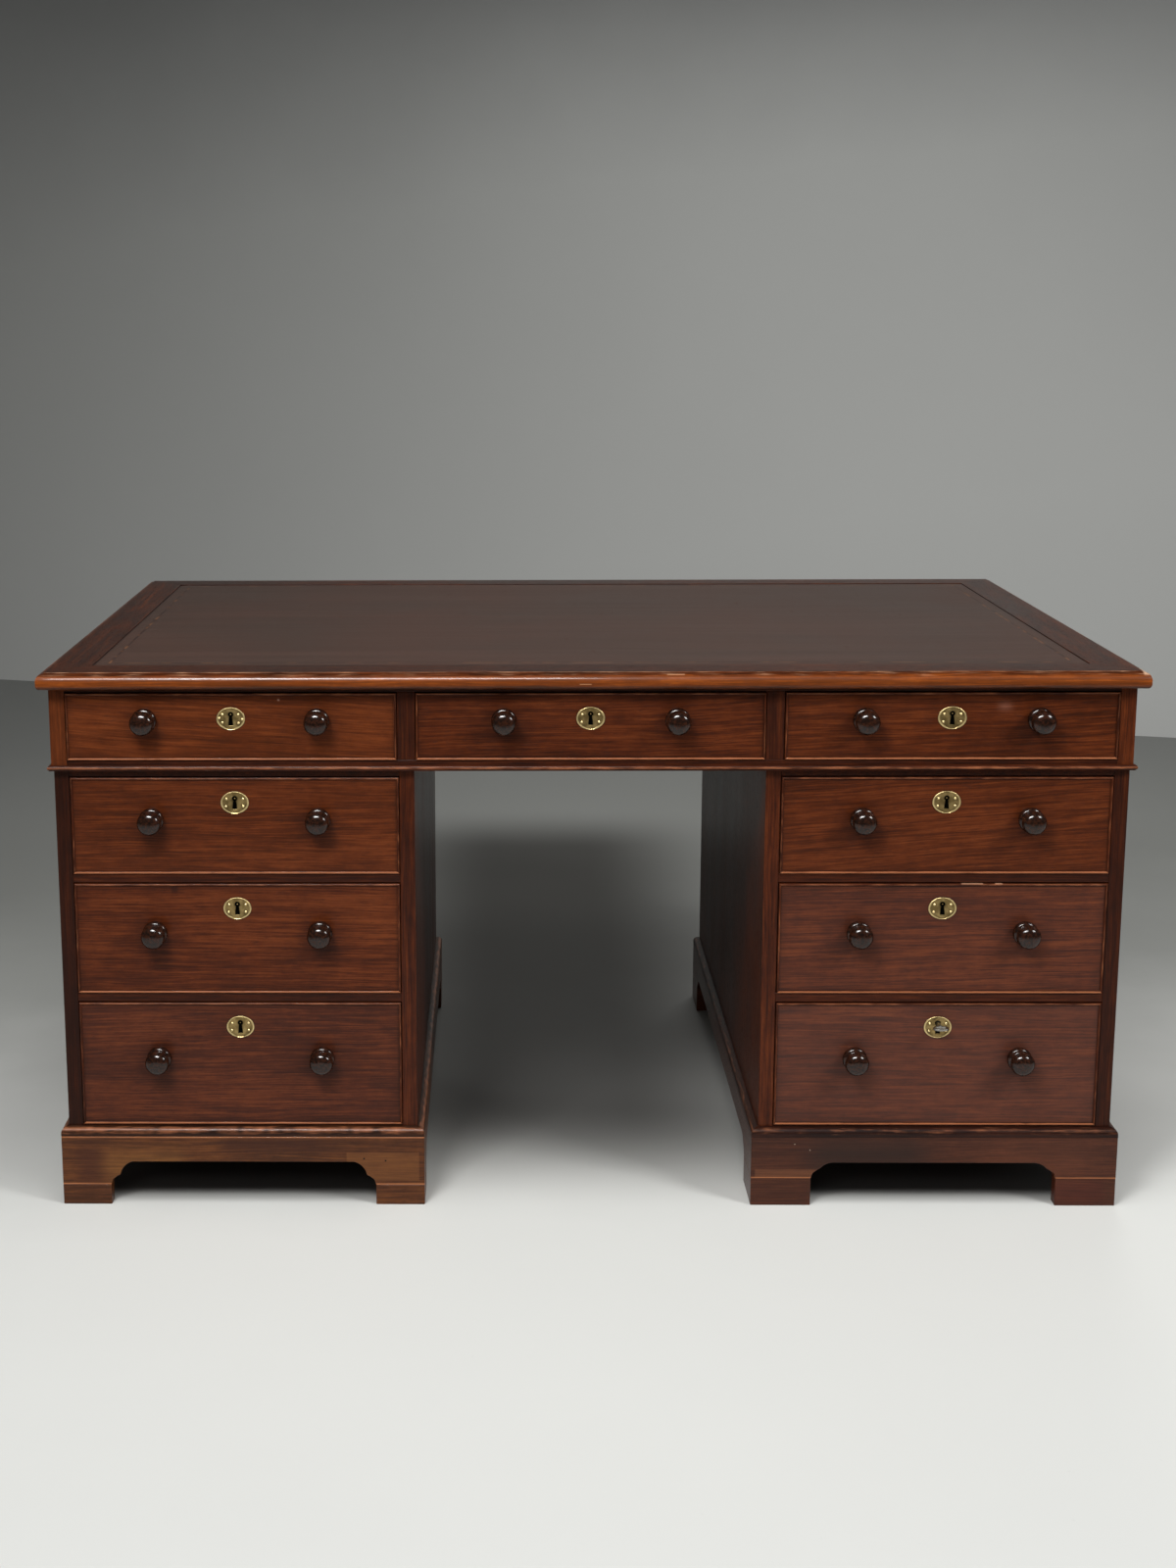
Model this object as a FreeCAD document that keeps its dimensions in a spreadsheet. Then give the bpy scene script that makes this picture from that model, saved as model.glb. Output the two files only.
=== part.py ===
# A pedestal partners desk in mahogany, used from both long sides.
#
# Frame of the model: X along the desk, Y from the front to the back, Z up.
# The origin is on the floor, under the middle of the desk. Sizes are millimetres.
# Three parts stack as on the real desk: two pedestals, and a top with a frieze
# of drawers. The front has nine drawers. The back has three frieze drawers and
# a cupboard door in each pedestal.

import FreeCAD, Part
import Sketcher
import math
import os
import re

Vector = FreeCAD.Vector
doc = FreeCAD.newDocument("partners_desk")

# ---------------------------------------------------------------- dimensions

DIMENSIONS = {
    # the whole desk
    "top_width": 1524,
    "top_depth": 968,
    "desk_height": 782,
    "kneehole_width": 488,
    # the top: a mitred border with a thumb-moulded edge, and leather let into it
    "top_thick": 24,
    "border_width": 68,
    "quirk_inset": 12,
    "quirk_drop": 1.2,
    "nose_upper": 11,
    "nose_lower": 7,
    "leather_thick": 1.5,
    "leather_sink": 0.4,
    "soft_gap": 0.3,
    # the frieze under the top
    "overhang_side": 14,
    "overhang_front": 24,
    "frieze_height": 117,
    "frieze_end": 22,
    "divider_thick": 25,
    "rail_depth": 60,
    "top_rail": 6,
    "low_rail": 15,
    "bead_height": 8,
    "bead_proud": 5,
    "bead_crown": 3.6,
    "spine_thick": 18,
    # the pedestals
    "pedestal_inset": 2,
    "pedestal_setback": 8,
    "side_thick": 21,
    "pedestal_cap": 10,
    "upper_opening": 140,
    "middle_opening": 162,
    "pedestal_rail": 13,
    "base_board": 16,
    "base_show": 2,
    "bulkhead_place": 100,
    "bulkhead_thick": 12,
    "shelf_rise": 250,
    "shelf_thick": 15,
    "batten_size": 15,
    "runner_width": 40,
    "stop_height": 4,
    "stop_width": 30,
    "stop_depth": 15,
    # the plinths on bracket feet
    "plinth_height": 117,
    "plinth_proud": 10,
    "plinth_thick": 20,
    "moulding_height": 14,
    "moulding_round": 9.5,
    "arch_height": 65,
    "bracket_reach": 31,
    "cusp_reach": 13,
    "cusp_rise": 15,
    "cusp_point_reach": 4,
    "cusp_point_rise": 2,
    "hollow_reach": 2.5,
    "hollow_rise": 8,
    "bracket_round": 26,
    "left_foot": 70,
    "left_tip": 30,
    "right_foot": 86,
    "right_tip": 41,
    "glue_block": 40,
    "block_lift": 3,
    # the drawers
    "front_thick": 20,
    "side_gap": 0.8,
    "head_gap": 1.2,
    "slide_gap": 0.3,
    "cock_bead": 3.2,
    "cock_proud": 2.5,
    "cock_rebate": 6,
    "frieze_back_room": 21,
    "pedestal_back_room": 22,
    "lining_thick": 10,
    "lining_drop": 4,
    "back_drop": 6,
    "bottom_thick": 7,
    "bottom_rise": 6,
    "groove_depth": 5,
    "pin_width": 7,
    "tail_slope": 6,
    "frieze_tails": 2,
    "pedestal_tails": 3,
    # knobs, turned
    "knob_proud": 36,
    "knob_head": 17.2,
    "knob_face": 9,
    "knob_neck": 11.5,
    "knob_collar": 17.5,
    "neck_proud": 14,
    "head_back": 22,
    "head_front": 30,
    "knob_rim": 16,
    "knob_rise": 9,
    "frieze_knob_pitch": 239,
    "pedestal_knob_pitch": 233,
    # locks
    "plate_width": 40,
    "plate_height": 32,
    "plate_thick": 1.5,
    "keyhole_head": 7,
    "keyhole_slot": 3.6,
    "keyhole_length": 19,
    "keyhole_drop": 30,
    "case_width": 60,
    "case_height": 46,
    "case_depth": 12,
    "case_wall": 1.6,
    "bolt_width": 24,
    "bolt_depth": 6,
    "bolt_height": 17,
    "bolt_throw": 7,
    "bolt_gap": 0.3,
    "mortise_spare": 1.5,
    "key_shank": 5,
    "key_proud": 31,
    "bow_width": 22,
    "bow_length": 15,
    "bow_wire": 3,
    "bit_reach": 8.5,
    "bit_thick": 2.2,
    "bit_length": 5,
    "bit_play": 0.5,
    # the cupboard doors
    "door_thick": 22,
    "door_gap": 1,
    "stile_width": 60,
    "panel_thick": 10,
    "panel_sink": 6,
    "door_stop": 12,
    "door_knob_rise": 20,
    "hinge_height": 60,
    "hinge_inset": 70,
    "leaf_width": 18,
    "leaf_thick": 1.5,
    "knuckle_radius": 3.5,
    "pin_radius": 1.7,
    "pin_play": 0.06,
    "knuckle_play": 0.2,
}

# Places and sizes that follow from the dimensions.
PLACES = {
    "top_under": "desk_height - top_thick",
    "leather_under": "desk_height - leather_sink - leather_thick",
    "frieze_half": "top_width / 2 - overhang_side",
    "frieze_face": "top_depth / 2 - overhang_front",
    "frieze_under": "top_under - frieze_height",
    "frieze_floor": "frieze_under + low_rail",
    "frieze_head": "top_under - top_rail",
    "frieze_opening": "frieze_head - frieze_floor",
    "knee_half": "kneehole_width / 2",
    "divider_x": "knee_half + side_thick / 2",
    "centre_opening": "2 * divider_x - divider_thick",
    "flank_low": "divider_x + divider_thick / 2",
    "flank_high": "frieze_half - frieze_end",
    "flank_opening": "flank_high - flank_low",
    "flank_x": "(flank_low + flank_high) / 2",
    "pedestal_width": "frieze_half - pedestal_inset - knee_half",
    "pedestal_x": "knee_half + pedestal_width / 2",
    "pedestal_half": "pedestal_width / 2",
    "pedestal_face": "frieze_face - pedestal_setback",
    "pedestal_opening": "pedestal_width - 2 * side_thick",
    "opening_half": "pedestal_opening / 2",
    "cap_under": "frieze_under - pedestal_cap",
    "upper_floor": "cap_under - upper_opening",
    "middle_head": "upper_floor - pedestal_rail",
    "middle_floor": "middle_head - middle_opening",
    "lower_head": "middle_floor - pedestal_rail",
    "base_top": "plinth_height + base_show",
    "lower_opening": "lower_head - base_top",
    "carcase_under": "plinth_height - moulding_height",
    "frieze_drawer_depth": "frieze_face - spine_thick / 2 - frieze_back_room",
    "pedestal_drawer_depth": "pedestal_face + bulkhead_place - pedestal_back_room",
    "cupboard_back": "bulkhead_place + bulkhead_thick",
    "cupboard_height": "cap_under - base_top",
    "plinth_x": "pedestal_half + plinth_proud",
    "plinth_y": "pedestal_face + plinth_proud",
}


def make_sheet(name, rows, number_text):
    """A sheet with a name in column A and its value or formula, with an alias, in B."""
    page = doc.addObject("Spreadsheet::Sheet", name)
    for row, (alias, entry) in enumerate(rows.items(), 1):
        page.set(f"A{row}", alias)
        page.set(f"B{row}", number_text(entry))
        page.setAlias(f"B{row}", alias)
    return page


def formula(text, own=None):
    """Put the sheet's name before each alias in a formula; its own sheet needs none."""
    def full_name(match):
        word = match.group(0)
        if word in DIMENSIONS:
            return "dims." + word
        if word in PLACES and own is None:
            return "places." + word
        return word
    return re.sub(r"[a-z][a-z_]*", full_name, str(text))


dims = make_sheet("dims", DIMENSIONS, str)
doc.recompute()
places = make_sheet("places", PLACES, lambda text: "=" + formula(text, own="places"))
doc.recompute()


def value(text):
    """The number that a formula gives now."""
    found = places.evalExpression(formula(text))
    return float(getattr(found, "Value", found))


# ---------------------------------------------------------------- basic pieces

# How many flats stand for a round where the same small piece comes many times.
KNOB_FLAT_COUNT = 10
PLATE_FLAT_COUNT = 16
HOLE_FLAT_COUNT = 5
BOW_FLAT_COUNT = 14
KNUCKLE_FLAT_COUNT = 8

# How far a cutting shape runs past the face that it cuts.
PAST = 1


def bind(thing, properties, texts):
    """Bind each property of an object to its formula."""
    for name, text in zip(properties, texts):
        thing.setExpression(name, formula(text))
    return thing


BASE = ("Placement.Base.x", "Placement.Base.y", "Placement.Base.z")
HALF_TURN = FreeCAD.Rotation(Vector(0, 0, 1), 180)
TO_LEFT = FreeCAD.Rotation(Vector(0, 0, 1), -90)
TO_RIGHT = FreeCAD.Rotation(Vector(0, 0, 1), 90)
UPRIGHT = FreeCAD.Rotation(Vector(1, 0, 0), 90)
NO_TURN = FreeCAD.Rotation()


def board(name, low, size):
    """A straight board: formulas for its low corner and its size along X, Y and Z."""
    box = doc.addObject("Part::Box", name)
    bind(box, BASE, low)
    return bind(box, ("Length", "Width", "Height"), size)


def rod(name, foot, radius, length, turn=NO_TURN):
    """A round bar from its foot along its own Z, turned before it is placed."""
    bar = doc.addObject("Part::Cylinder", name)
    bar.Placement = FreeCAD.Placement(Vector(), turn)
    bind(bar, BASE, foot)
    return bind(bar, ("Radius", "Height"), (radius, length))


def knuckle(name, foot, radius, length):
    """An upright knuckle of a hinge, its outside drawn as so many flats."""
    bar = doc.addObject("Part::Prism", name)
    bar.Polygon = KNUCKLE_FLAT_COUNT
    bind(bar, BASE, foot)
    return bind(bar, ("Circumradius", "Height"), (radius, length))


def wedge(name, near, far, turn=NO_TURN):
    """A prism between two rectangles at a near and a far Y: (y, x0, x1, z0, z1) each."""
    body = doc.addObject("Part::Wedge", name)
    body.Placement = FreeCAD.Placement(Vector(), turn)
    bind(body, ("Ymin", "Xmin", "Xmax", "Zmin", "Zmax"), near)
    return bind(body, ("Ymax", "X2min", "X2max", "Z2min", "Z2max"), far)


def fuse(name, pieces):
    """One solid of several that touch or overlap."""
    joined = doc.addObject("Part::MultiFuse", name)
    joined.Shapes = pieces
    joined.Refine = True
    return joined


def cut(name, base, tools):
    """The base less every tool. The tools don't overlap each other."""
    tool = tools[0]
    if len(tools) > 1:
        tool = doc.addObject("Part::Compound", name + "_tools")
        tool.Links = tools
    rest = doc.addObject("Part::Cut", name)
    rest.Base = base
    rest.Tool = tool
    rest.Refine = True
    return rest


def common(name, first, second):
    """What two solids share."""
    shared = doc.addObject("Part::Common", name)
    shared.Base = first
    shared.Tool = second
    shared.Refine = True
    return shared


def copy_of(name, master, place, turn=NO_TURN):
    """A linked copy of a master piece at another place."""
    link = doc.addObject("App::Link", name)
    link.LinkedObject = master
    link.LinkTransform = True
    link.Placement = FreeCAD.Placement(Vector(), turn)
    return bind(link, BASE, place)


SUB_PARTS = []


def sub_part(label, pieces, place=("0", "0", "0"), turn=NO_TURN):
    """A named sub-part: its separate solids as one group, with its own placement."""
    group = doc.addObject("Part::Compound", label)
    group.Label = label
    group.Links = pieces
    group.Placement = FreeCAD.Placement(Vector(), turn)
    bind(group, BASE, place)
    SUB_PARTS.append(group)
    return group


# ---------------------------------------------------------------- sketched pieces

def sketch(body, plane, corners):
    """A closed sketch on one of a body's origin planes.

    Each corner is (across, up), as formulas. A corner may have a third entry:
    the radius of the arc from it to the next corner, positive where the arc
    bulges to the right of the way, negative where it bulges to the left.
    """
    drawn = body.newObject("Sketcher::SketchObject", body.Name + "_outline")
    origin = [f for f in body.Origin.OriginFeatures if f.Role == plane]
    drawn.AttachmentSupport = [(origin[0], "")]
    drawn.MapMode = "FlatFace"
    points = [Vector(value(c[0]), value(c[1]), 0) for c in corners]
    for index, corner in enumerate(corners):
        start, end = points[index], points[(index + 1) % len(points)]
        if len(corner) < 3:
            drawn.addGeometry(Part.LineSegment(start, end), False)
            continue
        radius = value(corner[2])
        chord = end - start
        rise = abs(radius) - math.sqrt(radius ** 2 - chord.Length ** 2 / 4)
        right = Vector(chord.y, -chord.x, 0).normalize()
        crest = (start + end) / 2 + right * math.copysign(rise, radius)
        drawn.addGeometry(Part.Arc(start, crest, end), False)
    starts = []
    for index, corner in enumerate(corners):
        curve = drawn.Geometry[index]
        first = curve.StartPoint.distanceToPoint(points[index]) < 1e-6
        starts.append((index, 1 if first else 2))
    for index, corner in enumerate(corners):
        edge, vertex = starts[index]
        before = index - 1 if index else len(corners) - 1
        last = 3 - starts[before][1]
        drawn.addConstraint(Sketcher.Constraint("Coincident", before, last, edge, vertex))
        for axis, text in (("DistanceX", corner[0]), ("DistanceY", corner[1])):
            size = value(text)
            number = drawn.addConstraint(
                Sketcher.Constraint(axis, -1, 1, edge, vertex, size))
            drawn.setExpression(f"Constraints[{number}]", formula(text))
        if len(corner) > 2:
            number = drawn.addConstraint(
                Sketcher.Constraint("Radius", edge, abs(value(corner[2]))))
            drawn.setExpression(f"Constraints[{number}]", formula(f"abs({corner[2]})"))
    return drawn


def padded(name, plane, corners, length, both_ways=False):
    """A body: an outline padded by a length, to one side or to both."""
    body = doc.addObject("PartDesign::Body", name)
    pad = body.newObject("PartDesign::Pad", name + "_pad")
    pad.Profile = sketch(body, plane, corners)
    pad.SideType = "Symmetric" if both_ways else "One side"
    bind(pad, ("Length",), (length,))
    body.Tip = pad
    return body


def solid_of(name, shape, place=Vector()):
    """A piece whose shape is made directly, at a place."""
    piece = doc.addObject("Part::Feature", name)
    piece.Shape = shape
    piece.Placement = FreeCAD.Placement(place, NO_TURN)
    return piece


def prism(points, along):
    """A solid: the outline through the points, drawn out along a vector."""
    return Part.Face(Part.makePolygon(points + points[:1])).extrude(along)


def oval(width, height, flats):
    """Points round an oval in XZ, evenly stepped, as numbers in millimetres."""
    steps = [2 * math.pi * step / flats for step in range(flats)]
    return [Vector(width / 2 * math.cos(a), 0, height / 2 * math.sin(a)) for a in steps]


def turned(name, rings, flats):
    """A turned solid about Y, its round drawn as so many flats.

    Each ring is (radius, place along Y) as formulas, from the seat outwards.
    """
    loops = []
    for radius, along in rings:
        shift = Vector(0, value(along), 0)
        loops.append([p + shift for p in oval(2 * value(radius), 2 * value(radius), flats)])
    faces = [Part.Face(Part.makePolygon(loop + loop[:1])) for loop in (loops[0], loops[-1])]
    for near, far in zip(loops, loops[1:]):
        for k in range(flats):
            n = (k + 1) % flats
            faces.append(Part.Face(Part.makePolygon(
                [near[k], near[n], far[n], far[k], near[k]])))
    return solid_of(name, Part.Solid(Part.Shell(faces)))


# ---------------------------------------------------------------- mitred frames

def mitred_ring(name, half_x, half_y, width, low, high):
    """Four strips round a rectangle in plan, mitred at its corners.

    Order: front, back, left, right.
    """
    inner_x, inner_y = f"({half_x} - {width})", f"({half_y} - {width})"
    strips = []
    for side, sign in (("front", "-"), ("back", "")):
        outer = (f"{sign}{half_y}", f"-{half_x}", half_x, low, high)
        inner = (f"{sign}{inner_y}", f"-{inner_x}", inner_x, low, high)
        near, far = (outer, inner) if sign else (inner, outer)
        strips.append(wedge(f"{name}_{side}", near, far))
    for side, sign in (("left", "-"), ("right", "")):
        outer = (f"{sign}{half_x}", f"-{half_y}", half_y, low, high)
        inner = (f"{sign}{inner_x}", f"-{inner_y}", inner_y, low, high)
        near, far = (outer, inner) if sign else (inner, outer)
        strips.append(wedge(f"{name}_{side}", near, far, TO_LEFT))
    return strips


def moulded_ring(name, long_bar, short_bar, half_x, half_y, width, low, high):
    """Mitred strips cut from two moulded bars whose outer face is at Y 0, facing -Y.

    The bar along X serves the front and back, and the other one the two sides.
    """
    blanks = mitred_ring(name + "_mitre", half_x, half_y, width, low, high)
    spots = (("0", f"-{half_y}", "0"), ("0", half_y, "0"),
             (f"-{half_x}", "0", "0"), (half_x, "0", "0"))
    turns = (NO_TURN, HALF_TURN, TO_LEFT, TO_RIGHT)
    bars = (long_bar, long_bar, short_bar, short_bar)
    sides = ("front", "back", "left", "right")
    strips = []
    for side, bar, place, turn, blank in zip(sides, bars, spots, turns, blanks):
        run = copy_of(f"{name}_{side}_run", bar, place, turn)
        strips.append(common(f"{name}_{side}", run, blank))
    return strips


def upright_ring(name, half_x, low, high, width, front, back):
    """Four mitred strips round a rectangle that stands in XZ, as cock beads do."""
    inner_x = f"({half_x} - {width})"
    strips = []
    outer = (high, f"-{half_x}", half_x, f"-({back})", f"-({front})")
    inner = (f"{high} - {width}", f"-{inner_x}", inner_x, f"-({back})", f"-({front})")
    strips.append(wedge(name + "_top", inner, outer, UPRIGHT))
    outer = (low, f"-{half_x}", half_x, f"-({back})", f"-({front})")
    inner = (f"{low} + {width}", f"-{inner_x}", inner_x, f"-({back})", f"-({front})")
    strips.append(wedge(name + "_bottom", outer, inner, UPRIGHT))
    for side, sign in (("left", "-"), ("right", "")):
        outer = (f"{sign}{half_x}", f"-({back})", f"-({front})", low, high)
        inner = (f"{sign}{inner_x}", f"-({back})", f"-({front})",
                 f"{low} + {width}", f"{high} - {width}")
        near, far = (outer, inner) if sign else (inner, outer)
        strips.append(wedge(f"{name}_{side}", near, far, TO_LEFT))
    return strips


# ---------------------------------------------------------------- the top

def top():
    """Mitred border, the ground that it frames, and the leather let into it."""
    nose = (
        ("-border_width", "top_under"),
        ("-border_width", "desk_height"),
        ("-quirk_inset", "desk_height"),
        ("-quirk_inset", "desk_height - quirk_drop"),
        ("-nose_upper", "desk_height - quirk_drop", "-nose_upper"),
        ("0", "desk_height - quirk_drop - nose_upper"),
        ("0", "top_under + nose_lower", "-nose_lower"),
        ("-nose_lower", "top_under"),
    )
    # The outline stands in YZ, so "across" is Y. The front's outer face looks to -Y.
    front_nose = [(f"-({c[0]})", c[1]) + tuple(f"-({r})" for r in c[2:]) for c in nose]
    long_bar = padded("top_long_bar", "YZ_Plane", front_nose, "top_width", True)
    short_bar = padded("top_short_bar", "YZ_Plane", front_nose, "top_depth", True)
    border = moulded_ring("border", long_bar, short_bar, "top_width / 2", "top_depth / 2",
                          "border_width", "top_under", "desk_height")
    sub_part("top_border", border)
    half_x, half_y = "(top_width / 2 - border_width)", "(top_depth / 2 - border_width)"
    ground = board("ground", (f"-{half_x}", f"-{half_y}", "top_under"),
                   (f"2 * {half_x}", f"2 * {half_y}", "leather_under - top_under"))
    sub_part("top_ground", [ground])
    soft_x, soft_y = f"({half_x} - soft_gap)", f"({half_y} - soft_gap)"
    leather = board("leather", (f"-{soft_x}", f"-{soft_y}", "leather_under"),
                    (f"2 * {soft_x}", f"2 * {soft_y}", "leather_thick"))
    sub_part("writing_leather", [leather])


# ---------------------------------------------------------------- the frieze

def frieze():
    """Frame of ends, rails and dividers, the bead round its base, and its runners."""
    frame = []
    for side, low in (("left", "-frieze_half"), ("right", "frieze_half - frieze_end")):
        frame.append(board(f"frieze_end_{side}", (low, "-frieze_face", "frieze_under"),
                           ("frieze_end", "2 * frieze_face", "frieze_height")))
    for face, low in (("front", "-frieze_face"), ("back", "frieze_face - rail_depth")):
        for level, floor, height in (("low", "frieze_under", "low_rail"),
                                     ("top", "frieze_head", "top_rail")):
            frame.append(board(f"frieze_{face}_{level}_rail", ("-flank_high", low, floor),
                               ("2 * flank_high", "rail_depth", height)))
        for side, sign in (("left", "-"), ("right", "")):
            middle = f"{sign}divider_x - divider_thick / 2"
            frame.append(board(f"frieze_{face}_{side}_divider",
                               (middle, low, "frieze_floor"),
                               ("divider_thick", "rail_depth", "frieze_opening")))
    sub_part("frieze_frame", frame)

    bead_x, bead_y = "(frieze_half + bead_proud)", "(frieze_face + bead_proud)"
    round_edge = (
        ("bead_proud", "frieze_under"),
        ("bead_proud", "frieze_under + bead_height"),
        ("bead_crown", "frieze_under + bead_height"),
        ("bead_crown / 4", "frieze_under + bead_height * 5 / 6"),
        ("0", "frieze_under + bead_height * 5 / 8"),
        ("0", "frieze_under + bead_height * 3 / 8"),
        ("bead_crown / 4", "frieze_under + bead_height / 6"),
        ("bead_crown", "frieze_under"),
    )
    long_bar = padded("bead_long_bar", "YZ_Plane", round_edge, f"2 * {bead_x}", True)
    short_bar = padded("bead_short_bar", "YZ_Plane", round_edge, f"2 * {bead_y}", True)
    bead = moulded_ring("bead", long_bar, short_bar, bead_x, bead_y, "bead_proud",
                        "frieze_under", "frieze_under + bead_height")
    sub_part("frieze_bead", bead)

    inner = [board("spine", ("-flank_high", "-spine_thick / 2", "frieze_under"),
                   ("2 * flank_high", "spine_thick", "frieze_height"))]
    run = "(frieze_face - rail_depth - spine_thick / 2)"
    tracks = (
        ("left_end", "-flank_high", "runner_width"),
        ("left_mid", "-divider_x - divider_thick / 2 - runner_width",
         "2 * runner_width + divider_thick"),
        ("right_mid", "divider_x - divider_thick / 2 - runner_width",
         "2 * runner_width + divider_thick"),
        ("right_end", "flank_high - runner_width", "runner_width"),
    )
    for face, low in (("front", "rail_depth - frieze_face"), ("back", "spine_thick / 2")):
        for track, x, width in tracks:
            inner.append(board(f"frieze_runner_{face}_{track}", (x, low, "frieze_under"),
                               (width, run, "low_rail")))
            inner.append(board(f"frieze_kicker_{face}_{track}", (x, low, "frieze_head"),
                               (width, run, "top_rail")))
        for side, sign in (("left", "-"), ("right", "")):
            middle = f"{sign}divider_x - divider_thick / 2"
            inner.append(board(f"frieze_guide_{face}_{side}", (middle, low, "frieze_floor"),
                               ("divider_thick", run, "frieze_opening")))
    for column, x in (("left", "-flank_x"), ("centre", "0"), ("right", "flank_x")):
        for face in ("front", "back"):
            inner += drawer_stops(f"frieze_{face}_{column}", x, "frieze_face",
                                  "frieze_knob_pitch", "frieze_floor", face == "back")
    sub_part("frieze_runners", inner)


# ---------------------------------------------------------------- the pedestals

def pedestal_carcase(side):
    """Sides, cap, base and the two rails between the drawers, about its own middle."""
    height = "(frieze_under - carcase_under)"
    span = ("-opening_half", "-pedestal_face")
    size = ("pedestal_opening", "2 * pedestal_face")
    name = side + "_carcase"
    walls = [board(f"{name}_{hand}", (x, "-pedestal_face", "carcase_under"),
                   ("side_thick", "2 * pedestal_face", height))
             for hand, x in (("west", "-pedestal_half"), ("east", "opening_half"))]
    cap = board(name + "_cap", span + ("cap_under",), size + ("pedestal_cap",))
    base = board(name + "_base", span + ("base_top - base_board",), size + ("base_board",))
    rails = [board(f"{name}_{level}_rail", span + (floor,),
                   ("pedestal_opening", "rail_depth", "pedestal_rail"))
             for level, floor in (("upper", "middle_head"), ("lower", "lower_head"))]
    return walls, cap, base, rails


def pedestal_inner(side, latch_sign):
    """Runners, the bulkhead behind the drawers, the shelf and the stops."""
    name = side + "_inner"
    run = "(bulkhead_place + pedestal_face - rail_depth)"
    pieces = [board(name + "_bulkhead", ("-opening_half", "bulkhead_place", "base_top"),
                    ("pedestal_opening", "bulkhead_thick", "cupboard_height"))]
    for level, floor in (("upper", "middle_head"), ("lower", "lower_head")):
        for hand, x in (("west", "-opening_half"), ("east", "opening_half - runner_width")):
            pieces.append(board(f"{name}_{level}_{hand}_runner",
                                (x, "rail_depth - pedestal_face", floor),
                                ("runner_width", run, "pedestal_rail")))
    depth = "(pedestal_face - door_thick - cupboard_back)"
    shelf_under = "base_top + shelf_rise"
    pieces.append(board(name + "_shelf", ("-opening_half", "cupboard_back", shelf_under),
                        ("pedestal_opening", f"{depth} - runner_width", "shelf_thick")))
    for hand, x in (("west", "-opening_half"), ("east", "opening_half - batten_size")):
        pieces.append(board(f"{name}_{hand}_batten",
                            (x, "cupboard_back", f"{shelf_under} - batten_size"),
                            ("batten_size", f"{depth} - runner_width", "batten_size")))
    latch = "opening_half - door_stop" if latch_sign > 0 else "-opening_half"
    pieces.append(board(name + "_door_stop",
                        (latch, "pedestal_face - door_thick - slide_gap - door_stop",
                         "cap_under - door_stop"), ("door_stop",) * 3))
    for level, floor in (("upper", "upper_floor"), ("middle", "middle_floor"),
                         ("lower", "base_top")):
        pieces += drawer_stops(f"{name}_{level}", "0", "pedestal_face",
                               "pedestal_knob_pitch", floor)
    return pieces


def drawer_stops(name, x, face, pitch, floor, back=False):
    """Two small blocks that the back of a drawer's front meets when it is shut."""
    behind = f"front_thick + slide_gap - {face}"
    if back:
        behind = f"-({behind}) - stop_depth"
    return [board(f"{name}_stop_{hand}",
                  (f"{x} {sign} {pitch} / 2 - stop_width / 2", behind, floor),
                  ("stop_width", "stop_depth", "stop_height"))
            for hand, sign in (("west", "-"), ("east", "+"))]


def bracket_board(name, half, foot, tip, length_to_pad):
    """A plinth board with its lower edge shaped into brackets.

    It stands in XZ about the middle, from the foot's tip block up to the carcase.
    Each bracket is a shallow hollow, a small cusp and a longer hollow to the arch.
    """
    def edge(sign):
        inner = f"({half} - {foot})"
        return [
            (f"{sign}{half}", "carcase_under"),
            (f"{sign}{half}", tip),
            (f"{sign}{inner}", tip),
            (f"{sign}({inner} - hollow_reach)", f"{tip} + hollow_rise"),
            (f"{sign}({inner} - cusp_reach + cusp_point_reach)",
             f"{tip} + cusp_rise - cusp_point_rise"),
            (f"{sign}({inner} - cusp_reach)", f"{tip} + cusp_rise"),
            (f"{sign}({inner} - bracket_reach)", "arch_height"),
        ]
    right = edge("")
    left = edge("-")
    right[5] += ("bracket_round",)
    left[6] += ("bracket_round",)
    corners = right + left[::-1]
    return padded(name, "XZ_Plane", corners, length_to_pad)


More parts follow.
